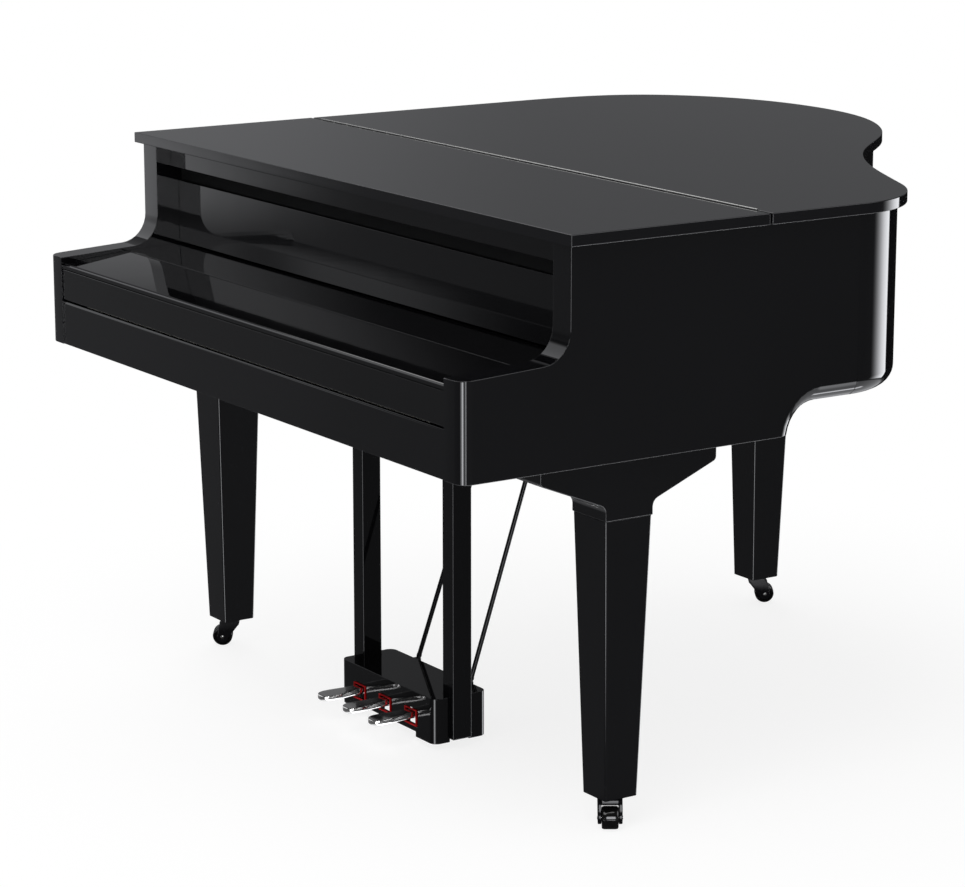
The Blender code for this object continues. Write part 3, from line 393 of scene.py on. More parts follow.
# %% [markdown]
# The case is black polyester lacquer, rubbed and buffed. It is almost black under a hard clear surface:
# the colour changes by a hair, the gloss is a little uneven where cloths have passed, and the surface has
# the very shallow, wide waves that make long reflections waver.
# %% Polished black lacquer
def polished_black(name, tone, gloss):
    lacquer = Finish(name, tone, gloss)
    depth = lacquer.noise(2.2, 2.0)
    lacquer.use(lacquer.ramp(depth, [(0.3, tone), (0.7, tuple(c * 1.35 for c in tone))]), "Base Color")
    haze = lacquer.noise(5.5, 5.0, 0.6)
    lacquer.use(lacquer.spread(haze, gloss, gloss + 0.03), "Roughness")
    waves = lacquer.noise(9.0, 1.0)
    lacquer.bump(waves, 0.0002, 0.35)
    return lacquer


polished_black("case_ebony", (0.0030, 0.0030, 0.0036), 0.02)
polished_black("lid_ebony", (0.0034, 0.0034, 0.0042), 0.045)
polished_black("cover_ebony", (0.0028, 0.0028, 0.0032), 0.02)
polished_black("desk_ebony", (0.0032, 0.0032, 0.0038), 0.05)
polished_black("prop_ebony", (0.0032, 0.0032, 0.0038), 0.05)
polished_black("leg_ebony", (0.0032, 0.0032, 0.0038), 0.03)
lyre = polished_black("lyre_ebony", (0.0020, 0.0020, 0.0024), 0.02)
lyre.set("Specular IOR Level", 0.34)
print("lacquers:", len(finishes))

# %% [markdown]
# Inside the case the boards are sprayed matt black over fibreboard. The spray leaves a fine pebbled skin,
# and the board's fibres show as faint paler flecks.
# %% Matt painted board and moulded black
painted = Finish("inner_board", (0.030, 0.028, 0.026), 0.62)
flecks = painted.noise(38, 6.0, 0.7)
painted.use(painted.ramp(flecks, [(0.35, (0.022, 0.021, 0.020)), (0.75, (0.040, 0.037, 0.034))]), "Base Color")
painted.use(painted.spread(painted.noise(90, 3.0), 0.52, 0.72), "Roughness")
painted.bump(painted.noise(420, 3.0), 0.0003, 0.4)

for slot_name, tone, rough in (("control_black", 0.020, 0.38), ("socket_black", 0.020, 0.50)):
    moulded = Finish(slot_name, (tone, tone, tone * 1.05), rough)
    mottle = moulded.ramp(moulded.noise(60, 4.0), [(0.3, (tone * 0.8,) * 3), (0.7, (tone * 1.3,) * 3)])
    moulded.use(mottle, "Base Color")
    moulded.use(moulded.spread(moulded.noise(140, 3.0), rough - 0.06, rough + 0.08), "Roughness")
    moulded.bump(moulded.cells(2600), 0.00012, 0.25)
print("inside:", list(finishes)[-3:])

# %% [markdown]
# The speaker deck is spruce plywood, varnished clear. Spruce has straight, narrow year rings that run along
# the board, pale early wood against thin brown late wood, so a banded wave is stretched along the grain.
# %% Varnished spruce
spruce = Finish("soundboard_wood", (0.45, 0.25, 0.10), 0.35)
along = spruce.stretch((1.0, 0.06, 1.0), (0, 0, math.radians(38)))
rings = spruce.wave(46, 2.2, "X", along)
fibre = spruce.noise(160, 5.0, 0.6, along)
tint = spruce.both(rings, spruce.spread(fibre, -0.18, 0.18), "ADD")
woods = [(0.0, (0.25, 0.12, 0.045)), (0.35, (0.44, 0.24, 0.10)), (1.0, (0.55, 0.33, 0.15))]
spruce.use(spruce.ramp(tint, woods), "Base Color")
spruce.use(spruce.spread(fibre, 0.26, 0.42), "Roughness")
spruce.bump(fibre, 0.0002, 0.25)
print("deck:", list(finishes)[-1])

# %% [markdown]
# Speaker cones are pressed paper pulp: a felted surface with short fibres in every direction. The cloth over
# the sound outlet is an open black weave, made from two crossed waves that also give it its bump.
# %% Cone paper and grille cloth
paper = Finish("speaker_cone", (0.020, 0.020, 0.020), 0.8)
pulp = paper.noise(700, 6.0, 0.75)
paper.use(paper.ramp(pulp, [(0.3, (0.012, 0.012, 0.012)), (0.8, (0.045, 0.044, 0.042))]), "Base Color")
paper.bump(pulp, 0.0004, 0.5)

THREADS = 0.5 / 0.0016
cloth = Finish("grille_cloth", (0.015, 0.015, 0.016), 0.85)
warp = cloth.wave(THREADS, 0.0, "X")
weft = cloth.wave(THREADS, 0.0, "Z")
weave = cloth.both(warp, weft, "MULTIPLY")
cloth.use(cloth.ramp(weave, [(0.1, (0.002, 0.002, 0.0022)), (0.8, (0.009, 0.0095, 0.010))]), "Base Color")
cloth.set("Specular IOR Level", 0.12)
cloth.bump(weave, 0.0004, 0.6)
print("paper and cloth:", list(finishes)[-2:])

# %% [markdown]
# White keys are capped with a satin plastic that looks like ivory, warm and just uneven. Black keys are a
# matt plastic with fine streaks, like ebony that fingers have dulled.
# %% Key plastics
ivory = Finish("white_key", (0.86, 0.85, 0.80), 0.28)
streak = ivory.noise(24, 4.0, 0.6, ivory.stretch((6.0, 0.6, 6.0)))
ivory.use(ivory.ramp(streak, [(0.3, (0.80, 0.785, 0.73)), (0.7, (0.87, 0.86, 0.81))]), "Base Color")
ivory.use(ivory.spread(streak, 0.22, 0.34), "Roughness")
ivory.set("Subsurface Weight", 0.04)
ivory.set("Subsurface Radius", (0.002, 0.0016, 0.001))

jet = Finish("black_key", (0.012, 0.012, 0.012), 0.42)
grain = jet.noise(180, 4.0, 0.65, jet.stretch((5.0, 0.35, 5.0)))
jet.use(jet.ramp(grain, [(0.3, (0.008, 0.008, 0.008)), (0.75, (0.022, 0.021, 0.020))]), "Base Color")
jet.use(jet.spread(grain, 0.34, 0.52), "Roughness")
jet.bump(grain, 0.00012, 0.3)
print("keys:", list(finishes)[-2:])

# %% [markdown]
# Metals differ in how they were finished. Nickel plate is bright with fine wiping marks. The brace rods and
# the caster yokes are steel under black lacquer, a little duller than the case. The sound unit's folded
# sheet has a zinc spangle. The caster wheels are hard black nylon, scuffed by the floor.
# %% Metals and wheel nylon
def plated(name, tone, rough, spread_to, bump=0.00003):
    metal = Finish(name, tone, rough, metallic=1.0)
    worn = metal.noise(35, 5.0, 0.6)
    metal.use(metal.ramp(worn, [(0.3, tuple(c * 0.93 for c in tone)), (0.7, tone)]), "Base Color")
    marks = metal.noise(900, 2.0, 0.5, metal.stretch((1.0, 0.12, 1.0), (0, 0, 0.4)))
    metal.use(metal.spread(marks, rough, spread_to), "Roughness")
    metal.bump(marks, bump, 0.3)
    return metal


plated("hinge_nickel", (0.36, 0.357, 0.347), 0.16, 0.28)
plated("pedal_nickel", (0.86, 0.85, 0.83), 0.09, 0.13, bump=0.000004)
rod = polished_black("rod_steel", (0.0030, 0.0030, 0.0034), 0.03)
rod.set("Specular IOR Level", 0.36)
yoke = polished_black("caster_yoke", (0.0050, 0.0050, 0.0058), 0.05)
yoke.set("Specular IOR Level", 0.25)

zinc = Finish("unit_steel", (0.5, 0.5, 0.5), 0.42, metallic=0.85)
spangle = zinc.cells(55)
zinc.use(zinc.ramp(spangle, [(0.1, (0.42, 0.42, 0.43)), (0.6, (0.58, 0.58, 0.58))]), "Base Color")
zinc.use(zinc.spread(spangle, 0.34, 0.52, 0.1, 0.6), "Roughness")

nylon = Finish("wheel_black", (0.005, 0.005, 0.005), 0.08)
scuff = nylon.noise(160, 6.0, 0.7)
nylon.use(nylon.ramp(scuff, [(0.35, (0.004, 0.004, 0.004)), (0.8, (0.010, 0.010, 0.010))]), "Base Color")
nylon.use(nylon.spread(scuff, 0.06, 0.16, 0.4, 0.75), "Roughness")
print("metals and wheels:", list(finishes)[-6:])

# %% [markdown]
# The collars round the pedals are pressed red wool felt. Felt scatters light off its loose fibres, so it has
# a strong sheen, a mottled colour and a soft, uneven surface.
# %% Red felt
felt = Finish("felt_red", (0.55, 0.01, 0.01), 0.95)
wool = felt.noise(900, 6.0, 0.8)
felt.use(felt.ramp(wool, [(0.25, (0.20, 0.001, 0.002)), (0.75, (0.38, 0.003, 0.004))]), "Base Color")
felt.set("Sheen Weight", 0.08)
felt.set("Sheen Tint", (1.0, 0.12, 0.10, 1))
felt.set("Specular IOR Level", 0.15)
felt.bump(wool, 0.0006, 0.7)
print("finishes:", len(finishes))


# %% [markdown]
# A finished piece is given its finish, the slot of the same name in the record, and the moving body that
# carries it. A piece that stands for a node of the engineering model hides that node.
# %% Helper for handing a piece over
made = []


def hand_over(piece, finish, body=None, stands_for=()):
    piece.data.materials.clear()
    piece.data.materials.append(finishes[finish])
    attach(piece, body or body_of[stands_for[0]])
    if stands_for:
        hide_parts(*stands_for)
    made.append((piece.name, len(piece.data.polygons)))
    return piece


def dress(node, finish, width=0.0010, segments=3, skip=None):
    """The usual way for a board: a mended copy with rounded edges stands for its node."""
    piece = mended(node, node + "_finished")
    soften(piece, width, segments, skip)
    return hand_over(piece, finish, stands_for=(node,))


# %% [markdown]
# The two side boards carry everything. Each has a low arm beside the keys, a hollow corner up to the tall
# cheek, and an arch behind the leg. Their edges are rounded by a millimetre, but the rear edge stays sharp,
# because the bent rim continues from it with no visible joint.
# %% Side boards
RIM_START_Y = 0.029
REAR_JOINT = RIM_START_Y - 0.001
SIDE_EDGE = 0.0011
INNER_HALF, ARM_INNER_Y = 0.6815, -0.780


def left_sharp(a, b):
    """The joint with the rim, and the arm's inner front edge beside the key cover."""
    at_rear = a.y > REAR_JOINT and b.y > REAR_JOINT
    beside_cover = max(abs(abs(v.x) - INNER_HALF) for v in (a, b)) < 0.001 and max(a.y, b.y) < ARM_INNER_Y
    return at_rear or beside_cover


for side in ("bass", "treble"):
    panel = dress(side + "_side_panel", "case_ebony", SIDE_EDGE, skip=left_sharp)
    print(panel.name, len(panel.data.polygons), "faces")

# %% [markdown]
# The lid's curved edge and the rim under it follow one line: a spline through seven knots, each with its
# heading. It is stepped finely here, because polished black shows every flat facet.
# %% The curve of the lid and rim
LID_KNOTS = [(0.750, 0.029, 90), (0.617, 0.219, 154), (0.275, 0.415, 140), (0.032, 0.667, 143),
             (-0.309, 0.787, 180), (-0.662, 0.649, 226), (-0.750, 0.279, 270)]
HANDLE = 0.36
STEPS = 28


def curved_edge(inset):
    """Points along the lid's curved edge, moved inwards, from the treble side to the bass side."""
    points = []
    for first, last in zip(LID_KNOTS, LID_KNOTS[1:]):
        a, b = Vector(first[:2]), Vector(last[:2])
        reach = HANDLE * (b - a).length
        turns = (math.radians(knot[2]) for knot in (first, last))
        ta, tb = (Vector((math.cos(turn), math.sin(turn))) for turn in turns)
        c, d = a + ta * reach, b - tb * reach
        for i in range(STEPS + (last is LID_KNOTS[-1])):
            t = i / STEPS
            s = 1 - t
            spot = a * s ** 3 + c * 3 * s * s * t + d * 3 * s * t * t + b * t ** 3
            way = ((c - a) * s * s + (d - c) * 2 * s * t + (b - d) * t * t).normalized()
            points.append((spot.x - way.y * inset, spot.y + way.x * inset))
    return points


print("curve points:", len(curved_edge(0.0)))

# %% [markdown]
# The rim is laminated from thin layers bent round a form. Here its outline is filled and extruded, and its
# lower outer edge gets the large rounding that shows as a bright band under the bentside.
# %% Bent rim
OVERHANG, SIDE_THICK = 0.0167, 0.0518
CASE_HALF = 0.7333
RIM_BOTTOM, CASE_TOP = 0.708, 1.0297
EDGE_ROUND = 0.034

outer = curved_edge(OVERHANG) + [(-CASE_HALF, RIM_START_Y)]
inner = curved_edge(OVERHANG + SIDE_THICK) + [(-INNER_HALF, RIM_START_Y)]
rim = sheet_cut("curved_rim_finished", [(x, y, RIM_BOTTOM) for x, y in outer + inner[::-1]],
                (0, 0, CASE_TOP - RIM_BOTTOM))
outer_spots = {(round(x, 4), round(y, 4)) for x, y in outer}


def on_outer(v):
    return (round(v.x, 4), round(v.y, 4)) in outer_spots


found = pick(rim, "EDGE", lambda a, b: all(abs(v.z - RIM_BOTTOM) < 1e-5 and on_outer(v) for v in (a, b)))
round_picked(EDGE_ROUND, 9)
soften(rim, SIDE_EDGE, 3, skip=lambda a, b: abs(a.y - RIM_START_Y) < 1e-3
       and (abs(a.y - b.y) < 1e-4 or abs(b.y - RIM_START_Y) < 1e-3))
hand_over(rim, "case_ebony", stands_for=("curved_rim",))
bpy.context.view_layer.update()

# %% [markdown]
# The main lid is a thin board with the same curve. It overhangs the case by its own thickness or so. Its
# edges are rounded a little more than the case's, which gives the pale line all round it.
# %% Main lid
HALF_LID, LID_BOTTOM, LID_TOP = 0.750, 1.0303, 1.0500
HINGE_Y, LEAF_INSET, GAP = -0.1792, 0.0023, 0.0003
LID_EDGE = 0.0014
LID_FRONT = HINGE_Y + LEAF_INSET + GAP
lid_outline = [(HALF_LID, LID_FRONT)] + curved_edge(0.0) + [(-HALF_LID, LID_FRONT)]
lid = sheet_cut("lid_main_finished", [(x, y, LID_BOTTOM) for x, y in lid_outline], (0, 0, LID_TOP - LID_BOTTOM))
soften(lid, LID_EDGE, 3)
hand_over(lid, "lid_ebony", stands_for=("lid_main",))
flap = dress("lid_front", "lid_ebony", LID_EDGE)
print("lid", len(lid.data.polygons), "faces, flap", len(flap.data.polygons))

# %% [markdown]
# The front of the case behind the keys is a stack of boards: the beam that carries the lid, a dark strip of
# speaker cloth, the upright fallboard panel, and the strip that the key cover turns on.
# %% Boards of the front
for node in ("front_beam", "name_rail", "bass_key_block", "treble_key_block"):
    dress(node, "case_ebony")
PANEL_LOW_Z, PANEL_SKIRT = 0.8431, 0.0062
BOARD_EDGE = 0.0010
panel = mended("fallboard_panel", "fallboard_panel_finished")
pick(panel, "VERT", lambda co: co.z < PANEL_LOW_Z + 0.001)
bpy.ops.transform.translate(value=(0, 0, -PANEL_SKIRT))
done()
soften(panel, BOARD_EDGE)
hand_over(panel, "case_ebony", stands_for=("fallboard_panel",))
dress("cover_strip", "cover_ebony", 0.0006)
dress("cover_lip", "cover_ebony")
grille = nodes["grille_strip"].data.materials
grille.clear()
grille.append(finishes["grille_cloth"])
print("front boards:", made[-7:])

# %% [markdown]
# Hands meet the nose of the key cover and the key slip below it, so their front edges are rounded far more
# than those of the other boards. The wide roundings carry the bright lines along the front.
# %% Key cover and key slip
def rounded_front(node, finish, low_z, high_z, front_y, radius, rest):
    """A board whose long front edges, between two heights, are rounded more than its other edges."""
    piece = mended(node, node + "_finished")
    count = pick(piece, "EDGE", lambda a, b: abs(a.x - b.x) > 0.5 and max(a.y, b.y) < front_y + 0.0005
                 and low_z < min(a.z, b.z) and max(a.z, b.z) < high_z)
    round_picked(radius)
    soften(piece, rest)
    hand_over(piece, finish, stands_for=(node,))
    return count


COVER_FRONT_Y, SLIP_FRONT_Y = -0.7855, -0.7840
print("nose edges", rounded_front("key_cover", "cover_ebony", 0.80, 0.82, COVER_FRONT_Y, 0.0082, 0.0008),
      "slip edges", rounded_front("key_slip", "case_ebony", 0.74, 0.75, SLIP_FRONT_Y, 0.0100, 0.0010))

# %% [markdown]
# The floor boards, the deck and the supports inside are plain painted boards, and the speaker deck is
# varnished spruce. They show when the lid is open, so they get rounded edges and their own finish too.
# %% Boards inside
for node in ("key_bed", "rear_bottom_board", "cross_board", "inner_deck", "key_frame"):
    dress(node, "inner_board", 0.0008, 2)
for node, finish, width in (("soundboard", "soundboard_wood", 0.0008), ("sound_unit", "unit_steel", 0.0012),
                            ("jack_box", "socket_black", 0.0008), ("inlet_box", "socket_black", 0.0008)):
    dress(node, finish, width, 2)
print("boards inside:", made[-9:])

# %% [markdown]
# The legs taper towards the floor. Their vertical edges have a clear rounding of about four millimetres,
# which draws the bright line down each leg. The corbels and the tail leg's plate fix them to the case.
# %% Legs and corbels
LEG_ROUND = 0.0040
for where in ("bass", "treble", "tail"):
    leg = mended(where + "_leg", where + "_leg_finished")
    upright = pick(leg, "EDGE", lambda a, b: abs(a.z - b.z) > 0.2 and abs(a.x - b.x) + abs(a.y - b.y) < 0.1)
    round_picked(LEG_ROUND)
    soften(leg, BOARD_EDGE, 2)
    hand_over(leg, "leg_ebony", stands_for=(where + "_leg",))
    print(leg.name, "upright edges", upright)
for node in ("bass_corbel", "treble_corbel", "tail_leg_plate"):
    dress(node, "leg_ebony", 0.0014)

# %% [markdown]
# The lyre hangs under the key bed: two posts, with the pedal box in their notches. The box's rear corners are
# rounded wide enough to draw the bright line beside the treble post.
# %% Lyre posts and pedal box
for side in ("bass", "treble"):
    dress(side + "_lyre_post", "lyre_ebony", 0.0020, 4)
BOX_HALF, BOX_FRONT_Y, BOX_REAR_Y, BOX_CORNER = 0.164, -0.4760, -0.3594, 0.015
box = mended("pedal_box", "pedal_box_finished")
corners = pick(box, "EDGE", lambda a, b: abs(a.z - b.z) > 0.02
               and all(abs(abs(v.x) - BOX_HALF) < 1e-4 and abs(v.y - BOX_REAR_Y) < 1e-4 for v in (a, b)))
round_picked(BOX_CORNER)
soften(box, BOARD_EDGE)
hand_over(box, "lyre_ebony", stands_for=("pedal_box",))
print("rear corners rounded:", corners)

# %% [markdown]
# Each pedal comes out through a collar of red felt. A block of the collar's outer size gets its front and
# rear faces inset, the inner faces are taken out, and the two openings are bridged into a thin frame. One
# collar is made in the middle of the box and copied to each pedal.
# %% Felt collars
PEDAL_X = {"soft": -0.094, "sostenuto": -0.004, "damper": 0.086}
FELT_HALF, FELT_LOW, FELT_HIGH = 0.0200, 0.0350, 0.0665
FELT_THICK, FELT_PROUD, FELT_DEEP = 0.0024, 0.0025, 0.0010
model = block("collar", (-FELT_HALF, BOX_FRONT_Y - FELT_PROUD, FELT_LOW),
              (FELT_HALF, BOX_FRONT_Y + FELT_DEEP, FELT_HIGH))
pick(model, "FACE", lambda middle, normal: abs(normal.y) > 0.9)
bpy.ops.mesh.inset(thickness=FELT_THICK)
bpy.ops.mesh.bridge_edge_loops()
done()
soften(model, 0.0006)
for name, x in PEDAL_X.items():
    collar = copy_to(model, name + "_felt_finished", Matrix.Translation((x, 0, 0)))
    hand_over(collar, "felt_red", stands_for=(name + "_felt",))
bpy.data.objects.remove(model)
print("collars:", made[-3:])

# %% [markdown]
# A pedal is a nickel-plated casting: a narrow shank in the box, then a wide tongue with a rounded tip. It is
# made by extruding a rounded section along stations that widen and close, then subdividing it smooth.
# %% Pedals
PIN_Z = 0.0530
# Along the pedal: place, half width, half height and middle height.
PEDAL_STATIONS = [(-0.3850, 0.0120, 0.0070, 0.0535), (-0.4700, 0.0120, 0.0070, 0.0550),
                  (-0.4900, 0.0125, 0.0068, 0.0550), (-0.5050, 0.0142, 0.0065, 0.0547),
                  (-0.5200, 0.0180, 0.0062, 0.0544), (-0.5330, 0.0201, 0.0061, 0.0542),
                  (-0.5460, 0.0205, 0.0061, 0.0540), (-0.5540, 0.0188, 0.0060, 0.0539),
                  (-0.5600, 0.0150, 0.0056, 0.0538), (-0.5635, 0.0096, 0.0048, 0.0537),
                  (-0.5650, 0.0040, 0.0030, 0.0536)]
TOP_ROUND, UNDER_ROUND = 0.0014, 0.0052
PIN_HALF, PIN_RADIUS = 0.0150, 0.0028
AXIS_Y = -0.3950


def pedal():
    """One pedal with its pin, in the middle of the box."""
    y0, w0, h0, z0 = PEDAL_STATIONS[0]
    select_none()
    bpy.ops.mesh.primitive_plane_add(size=1, location=(0, y0, z0), rotation=(math.pi / 2, 0, 0))
    piece = bpy.context.object
    piece.scale = (2 * w0, 2 * h0, 1)
    settle(piece)
    pick(piece, "VERT", lambda co: co.z < z0)
    bpy.ops.mesh.bevel(offset=UNDER_ROUND, segments=4, affect="VERTICES")
    done()
    pick(piece, "VERT", lambda co: co.z > z0 + h0 - 0.0001)
    bpy.ops.mesh.bevel(offset=TOP_ROUND, segments=2, affect="VERTICES")
    select_whole()
    for (y, w, h, z), (y2, w2, h2, z2) in zip(PEDAL_STATIONS, PEDAL_STATIONS[1:]):
        bpy.ops.mesh.extrude_region_move(TRANSFORM_OT_translate={"value": (0, y2 - y, z2 - z)})
        bpy.ops.transform.resize(value=(w2 / w, 1, h2 / h), center_override=(0, y2, z2))
    select_whole()
    bpy.ops.mesh.normals_make_consistent(inside=False)
    done()
    finer = piece.modifiers.new("finer", "SUBSURF")
    finer.levels = finer.render_levels = 2
    solo(piece)
    bpy.ops.object.modifier_apply(modifier=finer.name)
    bpy.ops.object.shade_smooth()
    pin = bar("pin", (-PIN_HALF, AXIS_Y, PIN_Z), (PIN_HALF, AXIS_Y, PIN_Z), PIN_RADIUS)
    soften(pin, 0.0004, 2)
    return join([piece, pin], "pedal")


model = pedal()
for name, x in PEDAL_X.items():
    piece = copy_to(model, name + "_pedal_finished", Matrix.Translation((x, 0, 0)))
    hand_over(piece, "pedal_nickel", stands_for=(name + "_pedal",))
    print(piece.name, len(piece.data.polygons), "faces")
bpy.data.objects.remove(model)

# %% [markdown]
# Each brace is a drawn rod with a threaded foot: a block on the box, a nut, the bar, and a plate screwed up
# under the key bed.
# %% Brace rods
ROD_FOOT, ROD_HEAD = Vector((0.0908, -0.3508, 0.0880)), Vector((0.0801, -0.1525, 0.6560))
ROD_RADIUS, BED_UNDERSIDE = 0.0044, 0.6585
HOLDER_HALF, HOLDER_RISE, HOLDER_REACH = 0.007, 0.010, 0.0058
PLATE_HALF_X, PLATE_HALF_Y, PLATE_THICK = 0.011, 0.0155, 0.0045
NUT_START, NUT_END, NUT_R = 0.0125, 0.0180, 0.0056
COLLAR_START, COLLAR_END, COLLAR_R = 0.016, 0.006, 0.0048
for side, sign in (("bass", -1), ("treble", 1)):
    foot, head = (Vector((sign * end.x, end.y, end.z)) for end in (ROD_FOOT, ROD_HEAD))
    way = (head - foot).normalized()
    shaft = soften(bar("shaft", foot, head, ROD_RADIUS, 32), 0.0004, 2)
    holder = soften(block("holder", (foot.x - HOLDER_HALF, BOX_REAR_Y + GAP, foot.z - HOLDER_RISE),
                          (foot.x + HOLDER_HALF, foot.y + HOLDER_REACH, foot.z + HOLDER_RISE)), 0.0016)
    plate = soften(block("plate", (head.x - PLATE_HALF_X, head.y - PLATE_HALF_Y, BED_UNDERSIDE - PLATE_THICK),
                         (head.x + PLATE_HALF_X, head.y + PLATE_HALF_Y, BED_UNDERSIDE - GAP)), 0.0012)
    nut = soften(bar("nut", foot + way * NUT_START, foot + way * NUT_END, NUT_R, 6), 0.0005, 2)
    collar = soften(bar("collar", head - way * COLLAR_START, head - way * COLLAR_END, COLLAR_R, 28), 0.0010, 2)
    brace = join([shaft, holder, plate, nut, collar], side + "_brace_rod_finished")
    hand_over(brace, "rod_steel", stands_for=(side + "_brace_rod",))
    print(brace.name, len(brace.data.polygons), "faces")

# %% [markdown]
# A caster has a crown that turns on a pivot under the leg, two cheeks that end in round lobes on the axle, and
# one wheel whose rim stands out past the lobes. The wheel is spun from its section: tread, shoulder, web
# and hub.
# %% Sizes of a caster
FOOT_Z, TRAIL, WHEEL_R = 0.057, 0.018, 0.020
CASTER_SPOTS = {"bass": (-0.6607, -0.4367, -123.5), "treble": (0.6607, -0.4367, -33.5),
                "tail": (-0.3257, 0.6543, 56.5)}
CHEEK_INNER, CHEEK_OUTER, LOBE = 0.0150, 0.0212, 0.0112
CROWN_LOW, CROWN_HIGH, PIVOT_R = 0.0425, 0.0518, 0.0075
AXLE_R, CAP_SECTION = 0.0030, [(0.0, 0.0011), (0.0022, 0.0010), (0.0036, 0.0005), (0.0040, 0.0), (0.0, 0.0)]
WHEEL_SECTION = [(0.0034, 0.0136), (0.0062, 0.0140), (0.0070, 0.0134), (0.0080, 0.0120), (0.0135, 0.0118),
                 (0.0148, 0.0134), (0.0160, 0.0142), (0.0178, 0.0141), (0.0192, 0.0130), (0.0199, 0.0108),
                 (0.0200, 0.0060), (0.0200, 0.0)]


def cheek_outline():
    """Side view of a cheek, with the trail along the first axis: straight shoulders and a round lobe."""
    top = FOOT_Z - GAP
    points = [(-0.0160, top), (-0.0165, 0.0500), (-0.0140, 0.0440)]
    for i in range(15):
        angle = math.radians(205 + 190 * i / 14)
        points.append((TRAIL + LOBE * math.cos(angle), WHEEL_R + LOBE * math.sin(angle)))
    return points + [(0.0262, 0.0400), (0.0205, 0.0500), (0.0160, top)]


print("cheek outline:", len(cheek_outline()), "points")

# %% [markdown]
# One caster is modelled under a pivot at the origin, where its parts lie straight. Its fork, axle and wheel
# are then copied to each leg, and turned as they stand in the picture.
# %% Casters
def caster():
    """The fork, axle and wheel under a pivot at the origin, trailing along X."""
    cheek = sheet_cut("cheek", [(u, -CHEEK_OUTER, v) for u, v in cheek_outline()],
                      (0, CHEEK_OUTER - CHEEK_INNER, 0))
    soften(cheek, 0.0012)
    cheeks = [cheek, copy_to(cheek, "cheek", Matrix.Translation((0, CHEEK_OUTER + CHEEK_INNER, 0)))]
    profile = [(-0.0150, CROWN_HIGH), (-0.0155, CROWN_LOW), (0.0215, CROWN_LOW), (0.0195, CROWN_HIGH)]
    crown = soften(sheet_cut("crown", [(u, -CHEEK_INNER - 0.0002, v) for u, v in profile],
                             (0, 2 * CHEEK_INNER + 0.0004, 0)), 0.0016)
    pivot = soften(bar("pivot", (0, 0, CROWN_HIGH - 0.001), (0, 0, FOOT_Z - GAP), PIVOT_R, 28), 0.0006, 2)
    fork = join(cheeks + [crown, pivot], "fork")
    axle_middle = Vector((TRAIL, 0, WHEEL_R))
    aside = Vector((0, CHEEK_OUTER, 0))
    axle = bar("axle", axle_middle - aside, axle_middle + aside, AXLE_R)
    caps = [lathe("cap", CAP_SECTION, axle_middle + sign * aside, (0, sign, 0), 24) for sign in (-1, 1)]
    axle = join([axle] + caps, "axle")
    section = WHEEL_SECTION + [(r, -h) for r, h in WHEEL_SECTION[-2::-1]] + [WHEEL_SECTION[0]]
    return fork, axle, lathe("wheel", section, axle_middle, (0, 1, 0), 56)


models = caster()
for where, (x, y, yaw) in CASTER_SPOTS.items():
    turn = Matrix.Translation((x, y, 0)) @ Matrix.Rotation(math.radians(yaw), 4, "Z")
    names = ("caster_fork_" + where + "_finished", "caster_axle_" + where,
             "caster_wheel_" + where + "_finished")
    fork, axle, wheel = (smooth(copy_to(model, name, turn), 35) for model, name in zip(models, names))
    hand_over(fork, "caster_yoke", stands_for=("caster_fork_" + where,))
    hand_over(axle, "hinge_nickel", body_of["caster_fork_" + where])
    hand_over(wheel, "wheel_black", stands_for=("caster_wheel_" + where,))
    print(wheel.name, len(wheel.data.polygons), "faces")
for model in models:
    bpy.data.objects.remove(model)

# %% [markdown]
# The flap folds on one long hinge. Its barrel lies on the top of the lid as a bright line, cut into knuckles
# of about fifty millimetres that belong to the two leaves in turn. One knuckle is modelled, with softened
# ends, and an array repeats it along each leaf.
# %% Long hinge
HINGE_HALF, BARREL_R, BARREL_Z = 0.712, 0.0022, 1.0505
KNUCKLE_COUNT, KNUCKLE_GAP, LEAF_THICK = 28, 0.0005, 0.001
KNUCKLE = 2 * HINGE_HALF / KNUCKLE_COUNT
LEAF_LOW, LEAF_HIGH = LID_BOTTOM + 0.003, LID_TOP - 0.0012


def hinge_leaf(name, side, first, node):
    y0, y1 = sorted((HINGE_Y + side * (LEAF_INSET - LEAF_THICK), HINGE_Y + side * LEAF_INSET))
    leaf = soften(block("leaf", (-HINGE_HALF, y0, LEAF_LOW), (HINGE_HALF, y1, LEAF_HIGH)), 0.0002, 1)
    x = -HINGE_HALF + first * KNUCKLE
    knuckle = bar("knuckle", (x + KNUCKLE_GAP / 2, HINGE_Y, BARREL_Z),
                  (x + KNUCKLE - KNUCKLE_GAP / 2, HINGE_Y, BARREL_Z), BARREL_R, 20)
    soften(knuckle, 0.0003, 2)
    repeat(knuckle, KNUCKLE_COUNT // 2, 2 * KNUCKLE)
    piece = join([leaf, knuckle], name)
    return hand_over(piece, "hinge_nickel", stands_for=(node,))


hinge_leaf("fold_hinge_front_finished", -1, 0, "fold_hinge_front_leaf")
hinge_leaf("fold_hinge_main_finished", 1, 1, "fold_hinge_main_leaf")
print("knuckle length", round(KNUCKLE * 1000, 1), "mm")

